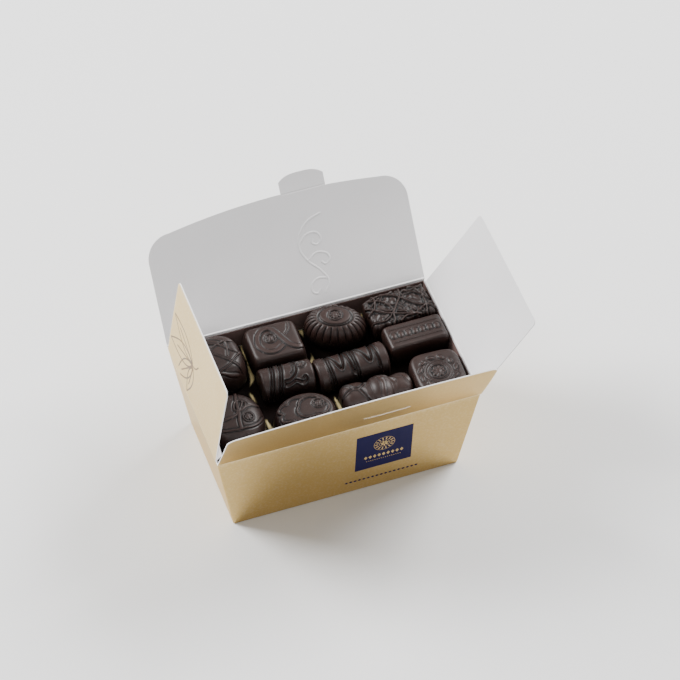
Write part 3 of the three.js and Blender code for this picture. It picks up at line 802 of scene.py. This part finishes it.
def ridge(distance, width, height):
    """A round raised line with a soft foot."""
    share = np.clip(distance / width, 0, 1)
    return height * (0.5 + 0.5 * np.cos(math.pi * share)) ** 0.8


def band(distance, width, height, edge=0.35):
    """A flat raised ribbon with crisp sides."""
    share = np.clip((width - distance) / edge, 0, 1)
    return height * share * share * (3 - 2 * share)


def raised(x, y, lines, width, height):
    """The tallest of several ridges at each plan point."""
    return np.maximum.reduce([ridge(away_from(line, x, y), width, height) for line in lines])


def above(z, level, soft=1.5):
    """Nothing below the level, and all of the relief from a little above it."""
    return np.clip((z - level) / soft, 0, 1)


def flower(x, y, cx, cy, radius, height=0.55, petals=7, turn=0.3):
    """A rosette of rings and petals."""
    out = np.hypot(x - cx, y - cy) / radius
    angle = np.arctan2(y - cy, x - cx) + turn
    rim = ridge(np.abs(out - 0.92) * radius, 0.45, height * 0.8)
    leaf = 0.78 * (0.72 + 0.28 * np.abs(np.cos(petals * angle / 2)))
    petal = band(out * radius, leaf * radius, height * 0.6)
    vein = -0.22 * height * np.exp(-(np.sin(petals * angle / 2) / 0.3) ** 2) * (out > 0.3) * (out < 0.75)
    bud = ridge(out * radius, 0.34 * radius, height * 0.55)
    return np.maximum(rim, petal + vein + bud) * (out < 1.15)


def profile_of(body, count):
    """Out and up of a moulded side from the crown to the foot, evenly spaced.

    A body has its half sizes in plan, the squareness of its plan (corner) and of its side (crown and
    shoulder), its height, the height of its waist, the foot's share of the plan and the side's draft.
    """
    waist = body.get("waist", 2.4)
    turn = np.linspace(math.pi / 2, 0, 400)
    share = np.sin(turn) ** (2 / body["shoulder"])
    out = np.cos(turn) ** (2 / body["crown"]) * (1 - body.get("draft", 0) * share)
    up = waist + (body["height"] - waist) * share
    foot = body.get("foot", 0.95)
    down = np.linspace(0, 1, 60)[1:]
    out = np.concatenate([out, 1 - (1 - foot) * down ** 1.6])
    up = np.concatenate([up, waist * (1 - down)])
    scale = (body["halfX"] + body["halfY"]) / 2
    length = np.concatenate([[0], np.cumsum(np.hypot(np.diff(out) * scale, np.diff(up)))])
    spots = np.linspace(0, length[-1], count)
    return np.interp(spots, length, out), np.interp(spots, length, up)


def moulded(body, cells):
    """A moulded chocolate's points: a square sheet wrapped over its crown and down its sides."""
    t = np.linspace(-1, 1, 2 * cells + 1)
    v, u = np.meshgrid(t, t, indexing="ij")
    ring = np.rint(np.maximum(np.abs(u), np.abs(v)) * cells).astype(int)
    power = body["corner"]
    size = np.maximum((np.abs(u) ** power + np.abs(v) ** power) ** (1 / power), 1e-9)
    out, up = profile_of(body, cells + 1)
    x = u / size * body["halfX"] * out[ring]
    y = v / size * body["halfY"] * out[ring]
    return np.stack([x, y, up[ring]], -1), len(t)


def log_grid(log, around, spacing=0.2):
    """Rings of a log from one end's middle to the other's. Below its axle it flattens to its foot."""
    half, radius_at = log["half"], log["radius"]
    xs = np.linspace(-half, half, 4000)
    rs = np.array([radius_at(x) for x in xs])
    xs = np.concatenate([[-half], xs, [half]])
    rs = np.concatenate([[0.0], rs, [0.0]])
    length = np.concatenate([[0], np.cumsum(np.hypot(np.diff(xs), np.diff(rs)))])
    count = int(length[-1] / spacing)
    spots = np.linspace(0, length[-1], count)
    x, r = np.interp(spots, length, xs), np.interp(spots, length, rs)
    angle = np.linspace(0, 2 * math.pi, around, endpoint=False)
    cos, sin = np.cos(angle), np.sin(angle)
    full = radius_at(0.0)
    y = np.where(sin >= 0, cos, np.sign(cos) * np.abs(cos) ** 0.4)[None, :] * r[:, None]
    low = -log["axle"] * np.minimum(r / full, 1)[:, None] * (np.abs(sin) ** 0.4)[None, :]
    z = np.where(sin[None, :] >= 0, sin[None, :] * r[:, None], low)
    return np.stack([np.broadcast_to(x[:, None], y.shape), y, z + log["axle"]], -1), count


def blurred(values, points, faces, reach=0.45):
    """Values averaged over their neighbours within a reach, to find the foot of each raised line."""
    a = np.array([f[0] for f in faces] + [f[1] for f in faces])
    b = np.array([f[1] for f in faces] + [f[2] for f in faces])
    spacing = float(np.median(np.linalg.norm(points[a] - points[b], axis=1)))
    rounds = int(np.clip(1.5 * (reach / spacing) ** 2, 4, 24))
    count = np.bincount(a, minlength=len(values)) + np.bincount(b, minlength=len(values))
    for _ in range(rounds):
        total = np.bincount(a, values[b], len(values)) + np.bincount(b, values[a], len(values))
        values = total / np.maximum(count, 1)
    return values


def pressed(flat, faces, relief, name, place, base=()):
    """A chocolate: its smooth body pushed out along its normals by the relief."""
    body = bpy.data.meshes.new(name + "_body")
    body.from_pydata([tuple(p) for p in flat], [], faces + list(base))
    normals = np.zeros(flat.size)
    body.vertex_normals.foreach_get("vector", normals)
    bpy.data.meshes.remove(body)
    groove_gain, groove_depth, foot_reach, full_relief = 12, 0.3, 1.2, 0.6
    lift = relief(flat[:, 0], flat[:, 1], flat[:, 2])
    groove = np.clip((blurred(lift, flat, faces) - lift) * groove_gain, 0, 1)
    lift = lift - groove_depth * groove
    foot = np.clip(flat[:, 2] / foot_reach, 0, 1)
    out = flat + normals.reshape(-1, 3) * (lift * foot)[:, None]
    out[:, 2] = np.maximum(out[:, 2], 0)
    x, y, turn = place
    matrix = Matrix.Translation((x, y, CHOCOLATE_BASE)) @ Matrix.Rotation(math.radians(turn), 4, "Z")
    piece = piece_from(name, moved(out, matrix), faces + list(base), [chocolate])
    write_attribute(piece, "relief", np.clip(lift / full_relief, 0, 1))
    # Painted shade: the colour darkens towards each chocolate's foot, and in the grooves at the foot of its
    # raised lines.
    painted_shade = np.clip(1 - flat[:, 2] / CHOCOLATE_SHADE, 0, 1) ** 0.8
    write_attribute(piece, "groove", np.maximum(groove, painted_shade))
    return piece


def moulded_piece(name, body, relief, place, cells=110):
    """A moulded chocolate at x, y and a turn in degrees, closed by one face below."""
    points, side = moulded(body, cells)
    faces = [tuple(f) for f in grid_faces(side, side)]
    base = tuple(grid_border(side, side)[::-1])
    return pressed(points.reshape(-1, 3), faces, relief, name, place, [base])


def log_piece(name, log, relief, place, around=230):
    """A log at x, y and a turn in degrees. Each end's ring is one point."""
    points, rows = log_grid(log, around)
    faces = [tuple(f)[::-1] for f in grid_faces(rows, around, closed=True)]
    flat = points.reshape(-1, 3)
    keep = np.arange(len(flat))
    keep[:around] = 0
    keep[-around:] = len(flat) - around
    merged = [tuple(dict.fromkeys(int(keep[i]) for i in f)) for f in faces]
    merged = [f for f in merged if len(f) > 2]
    used = np.unique(keep)
    index = np.zeros(len(flat), int)
    index[used] = np.arange(len(used))
    merged = [tuple(int(index[i]) for i in f) for f in merged]
    return recalculated(pressed(flat[used], merged, relief, name, place))


def rounded_ends(half, radius, rounding):
    """A log's radius along its length, with rounded ends."""
    def at(x):
        past = max(abs(x) - half + rounding, 0) / rounding
        return radius - rounding * (1 - math.sqrt(max(1 - past ** 2, 0)))
    return at


def net_dome():
    body = {"halfX": 13.9, "halfY": 14.2, "corner": 2.8, "height": 16.0, "crown": 8, "shoulder": 2.2,
            "draft": 0.06}
    net = smooth_lines(
        [[-3, -12.6], [0.3, -10.3], [3.9, -8.5], [9.9, -3.5], [12.6, 0]],
        [[-9, -8.5], [-6, -10.2], [-1.2, -11.2], [3.6, -12.3], [9, -12]],
        [[-6, 6], [-2, 1], [3.7, -4.8], [6.3, -7.7], [8.9, -9.7], [11, -11.4]],
        [[-11, 8.2], [-5, 7.8], [-0.1, 6.1], [3.6, 4], [7.3, 0.1], [10.3, -2.2], [13, -4]],
        [[-11, -4], [-5, 1], [0, 4], [5.3, 5.8], [10, 5]],
        [[-4, 12], [1, 9.6], [6.1, 5.7], [6.4, 2.4], [5, -3]])

    def relief(x, y, z):
        return raised(x, y, net, 0.6, 0.42) * above(z, 9)
    return moulded_piece("choc_net_dome", body, relief, (-46, 22.2, 0))


def ribbon_square():
    body = {"halfX": 13.8, "halfY": 11.9, "corner": 7, "height": 12.2, "crown": 16, "shoulder": 2.6,
            "draft": 0.05}
    loop = smooth_line([[2.6, -4.9], [-1.2, -6.9], [-5.3, -6.2], [-8.2, -2.0], [-7.4, 3.6], [-4.4, 7.1],
                        [-0.6, 7.4], [1.9, 4.2], [3.9, -0.4], [6.1, -4.7], [9.2, -7.2], [12.2, -7.0]])
    tail = smooth_line([[9.2, 9.2], [8.3, 4.8], [6.3, 2.3]])

    def relief(x, y, z):
        ribbon = band(away_from(loop, x, y), 1.2, 0.5, 0.3)
        small = ridge(away_from(tail, x, y), 0.6, 0.3)
        return np.maximum.reduce([ribbon, small, flower(x, y, -1.5, 1.3, 2.8)]) * above(z, 10)
    return moulded_piece("choc_ribbon_square", body, relief, (-16.1, 24.2, -1))


def fluted_oval():
    flutes = 24
    half_x, half_y = 14.9, 10.2
    body = {"halfX": half_x, "halfY": half_y, "corner": 2, "height": 16.2, "waist": 6, "foot": 0.85,
            "crown": 4.5, "shoulder": 2}

    def relief(x, y, z):
        angle = np.arctan2(y / half_y, x / half_x)
        out = np.hypot(x / half_x, y / half_y)
        rib = 0.5 * (np.abs(np.cos(flutes * angle / 2)) ** 0.8 - 0.5)
        rib = rib * np.clip((out - 0.62) / 0.12, 0, 1) * above(z, 6, 3)
        disc = np.hypot(x / 7.6, y / 5.5)
        top = band(disc * 6.5, 6.5, 0.55, 0.7) * (z > 12)
        groove = -0.35 * np.exp(-(((disc - 1.1) * 6.5) / 0.4) ** 2) * (z > 12)
        return rib + top + groove + flower(x, y, 0, 0, 3.3, 0.5, 9) * (z > 12)
    return moulded_piece("choc_fluted_oval", body, relief, (14.9, 25.6, -21.6), cells=130)


def piped_block():
    body = {"halfX": 16.4, "halfY": 9.8, "corner": 9, "height": 13.8, "waist": 9, "foot": 0.93,
            "crown": 12, "shoulder": 2.6, "draft": 0.01}
    strands = [
        [[-15.4, 3.4], [-9.5, -1.7], [-4.8, -4.3], [1.1, -6.6], [3.7, -7.3], [8, -8.8]],
        [[-15.9, -6.3], [-9.5, -7.3], [-4.7, -4.0], [0, 1.8], [2.3, 4.6], [3.4, 9]],
        [[2, 4], [5.2, 0.5], [9.3, -3.5], [14.2, -5.4], [16, -6]],
        [[-2, -9], [1.2, -7.7], [5.2, -7.8], [11.5, -5.1], [15.1, -3.4]],
        [[-6, 8.5], [-0.5, 6.2], [2, 4]],
        [[-6, -9.4], [-5, -8], [-4.2, -4.2], [-1.6, -0.6], [2, 4]],
        [[-12, 7], [-7.8, 8.1], [-3.3, 7.8], [0, 9]],
        [[8.2, 9], [12, 7], [15, 8.6]],
        [[5, 7], [7.8, 5.5], [12, 3.1], [14.9, -1.2]],
        [[-13, 6.5], [-7.9, 4.9], [-4.8, 1.4], [-3.4, -2.2]],
        [[13, 3], [12.3, -4.6], [11, -9.1]],
        [[-15.6, -1], [-12, 1.4], [-10, 6], [-10.6, 9.4]],
    ]
    long_strands, short_strands = len(strands), 26
    rng = np.random.default_rng(7)
    for _ in range(short_strands):
        x, y = rng.uniform(-14.5, 14.5), rng.uniform(-8.4, 8.4)
        turn, reach = rng.uniform(-0.5, 2.4), rng.uniform(1.6, 3.6)
        run_x, run_y = reach * math.cos(turn), reach * math.sin(turn)
        strands.append([[x - run_x, y - run_y], [x + rng.uniform(-0.4, 0.4), y], [x + run_x, y + run_y]])
    dense = []
    for i, line in enumerate(strands):
        width = 0.55 + 0.25 * rng.random()
        height = (0.75 if i < long_strands else 0.3) + 0.3 * rng.random()
        dense.append((smooth_line(line), width, height))

    def relief(x, y, z):
        total = np.zeros(x.shape)
        for line, width, height in dense:
            one = ridge(away_from(line, x, y), width, height)
            total = np.maximum(total, one) + 0.3 * np.minimum(total, one)
        lumps = 0.22 * np.sin(1.3 * x + 0.7 * np.sin(0.9 * y)) * np.sin(1.1 * y + 0.9 * np.sin(0.7 * x))
        return (np.minimum(total, 0.95) + lumps - 0.25) * above(z, 3, 4)
    return moulded_piece("choc_piped_block", body, relief, (46.6, 24.2, 2.4), cells=130)


def scroll_log():
    half = 12.8
    log = {"half": half, "axle": 5.4, "radius": rounded_ends(half, 8, 1.4)}

    def wrap(x):
        return [[x + 1.2, 9.6], [x + 1, 7.4], [x + 0.4, 4.5], [x, 0], [x - 1.2, -5], [x - 2, -7.4],
                [x - 2.4, -9.8]]
    wraps = smooth_lines(*[wrap(x) for x in (-7.4, -6.2, -3.2, -2.1)])
    scroll = smooth_lines([[3.2, 8.4], [4.0, 6.6], [4.7, 3.4], [4.9, 0.3], [3.7, -3.1], [0.6, -5.0],
                           [-1.8, -5.2], [-1.7, -6.5], [1.1, -6.2], [3.4, -5.7], [6.3, -6.7],
                           [8.5, -6.1], [8.2, -4.9], [7.1, -5.3]])
    curl = smooth_lines([[3.0, 5.6], [3.5, 2.4], [3.0, -0.8], [1.6, -2.6]])

    def relief(x, y, z):
        return np.maximum.reduce([
            raised(x, y, wraps, 0.6, 0.65), raised(x, y, scroll, 0.7, 0.8), raised(x, y, curl, 0.45, 0.35),
            flower(x, y, 7.4, 1.8, 2.3, 0.45)]) * above(z, 2.5, 2)
    return log_piece("choc_scroll_log", log, relief, (-17.2, 3.5, -2.5))


def zigzag_log():
    half = 17.6
    plain = rounded_ends(half, 7.9, 1.2)

    def radius(x):
        """Thicker near each end, by a smooth step on either side."""
        out = abs(x)
        collar = min(max((out - (half - 4.4)) / 0.4, 0), 1) * min(max((half - 0.8 - out) / 0.4, 0), 1)
        return plain(x) + 0.5 * collar * collar * (3 - 2 * collar)
    log = {"half": half, "axle": 5.2, "radius": radius}
    zigzag = smooth_lines(
        [[-11.4, 8.6], [-10.5, 5.0], [-8.6, 0], [-6.4, -4.2], [-4.8, -2.4], [-3.4, 6.4], [-2.4, 7.2],
         [-1.0, -5.0], [0.4, -6.6]],
        [[2.0, 8.6], [4.2, 3.2], [7.5, -3.8], [9.3, -2.8], [10.4, 6.4], [11.2, 6.8], [12.2, -3.0],
         [12.6, -6.4]])
    bands = smooth_lines(*[[[x + 0.6, 9], [x + 0.3, 5], [x, -2], [x + 0.4, -6.6], [x + 0.8, -8.6]]
                           for x in (-12.0, -10.9, 0.4, 1.5)])

    def relief(x, y, z):
        total = np.maximum(raised(x, y, zigzag, 0.9, 0.95), raised(x, y, bands, 0.6, 0.6))
        return total * (np.abs(x) < half - 4.3) * above(z, 2, 2)
    return log_piece("choc_zigzag_log", log, relief, (14.2, 1.2, 1.6))


def beaded_bar():
    body = {"halfX": 14.9, "halfY": 7.6, "corner": 14, "height": 13.8, "waist": 9, "foot": 0.92,
            "crown": 18, "shoulder": 2.4, "draft": 0.01}

    def relief(x, y, z):
        total = np.zeros(x.shape)
        for bead_x, bead_y, _ in row_of(3, 3.6, 0, 0):
            out = np.hypot((x - bead_x) / 1.45, (y - bead_y) / 1.9)
            total = np.maximum(total, 0.65 * np.sqrt(np.clip(1 - out ** 2, 0, 1)))
        line = ridge(np.abs(np.abs(y) - 4.0), 0.35, 0.18) * (np.abs(x) < 12.4)
        return np.maximum(total, line) * above(z, 12.5, 1)
    return moulded_piece("choc_beaded_bar", body, relief, (48.4, 6.1, 0.3))


def crossed_oval():
    body = {"halfX": 13.3, "halfY": 15.3, "corner": 2.2, "height": 13.4, "crown": 3.6, "shoulder": 2.1}
    down = smooth_line([[3.2, 12], [1.8, 5.5], [1.0, -0.8], [-0.2, -5.6], [-0.6, -9.6]])
    across = smooth_line([[-11, -2.4], [-4.8, -3.0], [-1.1, -2.3], [1.0, -0.8], [5.8, 1.5], [11, 2]])
    bows = smooth_lines([[1, -0.8], [-0.6, 1.4], [0.9, 5.2], [3.1, 6], [4.3, 4.9], [3.2, 2.2], [1, -0.8]],
                        [[1, -0.8], [4.0, 0.5], [5.4, 3.1], [4.8, 4.7]])
    hem = smooth_line([[-12, -4], [-8, -8], [-2.9, -9.6], [0.9, -9.8], [5.2, -9.6], [9.0, -7.6], [12, -4]])

    def relief(x, y, z):
        ribbons = [band(away_from(line, x, y), width, 0.5)
                   for line, width in ((across, 0.8), (down, 0.9), (hem, 0.6))]
        return np.maximum.reduce([*ribbons, raised(x, y, bows, 0.8, 0.6),
                                  flower(x, y, 4.4, -4.6, 2.7, 0.5)]) * above(z, 7, 2)
    return moulded_piece("choc_crossed_oval", body, relief, (-47.3, -12.6, 0))


def bows_line(x, y, radius_x, radius_y, bows, start, end):
    """A scalloped arc of bows round a middle point."""
    count = 12 * bows
    share = np.arange(count + 1) / count
    turn = start + (end - start) * share
    swell = 0.82 + 0.2 * np.abs(np.sin(math.pi * bows * share))
    return np.column_stack([x + radius_x * swell * np.cos(turn), y + radius_y * swell * np.sin(turn)])


def scallop_oval():
    body = {"halfX": 15.6, "halfY": 12.3, "corner": 2.1, "height": 12.4, "crown": 11, "shoulder": 2.4,
            "draft": 0.07}
    scallops = [bows_line(-2.4, 0.2, 10.8, 7.6, 4, 0.4 * math.pi, 1.6 * math.pi),
                bows_line(3.4, 0.4, 8, 6.4, 3, 0.25 * math.pi, 2.1 * math.pi)]

    def relief(x, y, z):
        return np.maximum(raised(x, y, scallops, 0.75, 0.6),
                          flower(x, y, 6.8, 1.6, 2.8, 0.5)) * above(z, 9.5, 1)
    return moulded_piece("choc_scallop_oval", body, relief, (-16, -21.2, 0))


def knotted_log():
    half = 17.2
    lobes = [(-10.2, 7.6, 8.4), (2.4, 6.8, 9.1), (12.2, 6.2, 7.9)]  # middle, reach and radius of each

    def radius(x):
        swells = [r * (1 - min(abs(x - middle) / reach, 1) ** 3) ** 0.4 for middle, reach, r in lobes]
        return max(*swells, 7.4 if -14 < x < 15 else 2.5)
    log = {"half": half, "axle": 4.4, "radius": radius}
    cross = smooth_lines(
        [[-17, -1.6], [-15.4, -0.8], [-11.3, 0.5], [-9.1, 0.1], [-6.9, -3.2], [-5.2, -5.4], [-4.2, -7]],
        [[-15.4, 6.4], [-13.2, 4.3], [-10.3, 0.3], [-7.4, 0.9], [-4.4, 4.2]])
    crest = smooth_lines(
        [[0.4, 6.6], [2.6, 4.6], [6.4, 3.4], [8.6, 0.6]], [[2.6, 4.6], [3.2, 0], [2.2, -5.6]],
        [[10.4, 5.4], [13.8, 3.2], [15.8, -1]])

    def relief(x, y, z):
        return np.maximum(raised(x, y, cross, 0.75, 0.5), raised(x, y, crest, 1.5, 0.5)) * above(z, 4, 2)
    return log_piece("choc_knotted_log", log, relief, (20, -18.3, -1.5))


def wreath_square():
    body = {"halfX": 12.4, "halfY": 12.6, "corner": 4.4, "height": 14, "waist": 8, "foot": 0.92,
            "crown": 14, "shoulder": 2.4, "draft": 0.01}
    leaves, ring = 11, 8.6
    middle_x, middle_y = -0.3, -1.4

    def relief(x, y, z):
        total = ridge(np.abs(np.hypot(x - middle_x, y - middle_y) - 6.6), 0.35, 0.2)
        for leaf_x, leaf_y, turn in ring_of(leaves, ring, middle_x, middle_y):
            lean = math.radians(turn + 70)
            along = (x - leaf_x) * math.cos(lean) + (y - leaf_y) * math.sin(lean)
            across = -(x - leaf_x) * math.sin(lean) + (y - leaf_y) * math.cos(lean)
            out = np.hypot(along / 1.8, across / 0.85)
            total = np.maximum(total, 0.5 * np.sqrt(np.clip(1 - out ** 2, 0, 1)))
        return np.maximum(total, flower(x, y, middle_x, middle_y, 4.6, 0.6, 8)) * above(z, 12, 1)
    return moulded_piece("choc_wreath_square", body, relief, (50.4, -19.9, -2))


def dressed(piece, body, cad_name=None):
    """Has the piece ride on a body and hides the solid that it takes the place of."""
    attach(piece, body)
    if cad_name:
        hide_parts(cad_name)


CHOCOLATES = {
    "praline_net_dome": net_dome, "praline_ribbon_square": ribbon_square,
    "praline_fluted_oval": fluted_oval, "praline_piped_block": piped_block,
    "praline_scroll_log": scroll_log, "praline_zigzag_log": zigzag_log,
    "praline_beaded_bar": beaded_bar, "praline_crossed_oval": crossed_oval,
    "praline_scallop_oval": scallop_oval, "praline_knotted_log": knotted_log,
    "praline_wreath_square": wreath_square,
}
for cad_name, make in CHOCOLATES.items():
    dressed(make(), "carton", cad_name)

dressed(tray_shell(), "carton", "tray")
dressed(lid_sheet(), "lid", "lid_flap")
dressed(tab_sheet(), "tab", "lid_tab")
dressed(front_sheet(), "front", "front_flap")
# The left flap's outside is the gold print with painted light.
for name, flap, body, slot, outside in (("right_card", RIGHT, "right", "white_card", gold_print),
                                        ("left_card", LEFT, "left", "light_gold_card", gold_print_painted_light)):
    columns = columns_of(flap)
    sheet = card_flap(name, flap_matrix(flap), columns, flap_edge(flap, columns), 30, end_bow, outside)
    dressed(sheet, body, body + "_flap")
for name, flap, body in (("lid_fold_card", LID, "lid"), ("front_fold_card", FRONT, "front"),
                         ("right_fold_card", RIGHT, "right"), ("left_fold_card", LEFT, "left")):
    strip, start, end = crease_strip(name, flap)
    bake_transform(strip)
strip, start, end = tab_crease()
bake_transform(strip)

dressed(pad_sheet(), "carton", "layer_pad")
for piece in label_pieces():
    dressed(piece, "carton")
dressed(sprig(), "left")
dressed(corner_ear(), "left")
dressed(lid_flourish(), "lid")

for cad_name, material in (("liner", brown_lining), ("unseen_fill", shaded_chocolate)):
    nodes[cad_name].data.materials.clear()
    nodes[cad_name].data.materials.append(material)


# Stage, lights and camera, with the floor in millimetres and the rest in metres

LIGHT_AIM = (0, 0, 0.04)


def stage_floor():
    reach, depth = 3000, -0.1
    corners = [(-reach, -reach, depth), (reach, -reach, depth), (reach, reach, depth), (-reach, reach, depth)]
    pale = finish("pale floor", "f4f4f4", "efefef", patch=3, amount=0.3, Roughness=0.7)
    piece_from("floor", corners, [(0, 1, 2, 3)], [pale])


def softbox(name, place, size, power):
    """A rectangular studio light aimed at the middle of the open box."""
    light = bpy.data.lights.new(name, "AREA")
    light.shape = "RECTANGLE"
    light.size, light.size_y = size
    light.energy = power
    holder = bpy.data.objects.new(name, light)
    holder.location = place
    holder.rotation_euler = (Vector(LIGHT_AIM) - Vector(place)).to_track_quat("-Z", "Y").to_euler()
    bpy.context.scene.collection.objects.link(holder)


def studio_world(strength):
    """Even white light from all round."""
    world = bpy.data.worlds.new("studio")
    world.use_nodes = True
    background = world.node_tree.nodes["Background"]
    background.inputs["Color"].default_value = (1, 1, 1, 1)
    background.inputs["Strength"].default_value = strength
    bpy.context.scene.world = world


def view_camera(place, azimuth, elevation, roll, lens):
    """A camera by its place and its angles in degrees, as they were fitted to the carton's corners."""
    data = bpy.data.cameras.new("view")
    data.lens = lens
    data.sensor_width = 36
    data.clip_end = 20
    azimuth, elevation, roll = (math.radians(a) for a in (azimuth, elevation, roll))
    back = Vector((math.sin(azimuth) * math.cos(elevation), -math.cos(azimuth) * math.cos(elevation),
                   math.sin(elevation)))
    right = Vector((math.cos(azimuth), math.sin(azimuth), 0))
    up = back.cross(right)
    side = right * math.cos(roll) + up * math.sin(roll)
    over = up * math.cos(roll) - right * math.sin(roll)
    camera = bpy.data.objects.new("view", data)
    camera.matrix_world = Matrix.Translation(place) @ Matrix((side, over, back)).transposed().to_4x4()
    bpy.context.scene.collection.objects.link(camera)
    bpy.context.scene.camera = camera


stage_floor()
softbox("right softbox", (1.15, 0.42, 1.2), (0.9, 0.7), 41)
softbox("left softbox", (-1.0, 0.75, 1.05), (0.7, 0.9), 45)
studio_world(0.545)
view_camera((-0.34935, -1.01368, 1.32240), azimuth=-19.437, elevation=49.307, roll=0.055, lens=186.67)
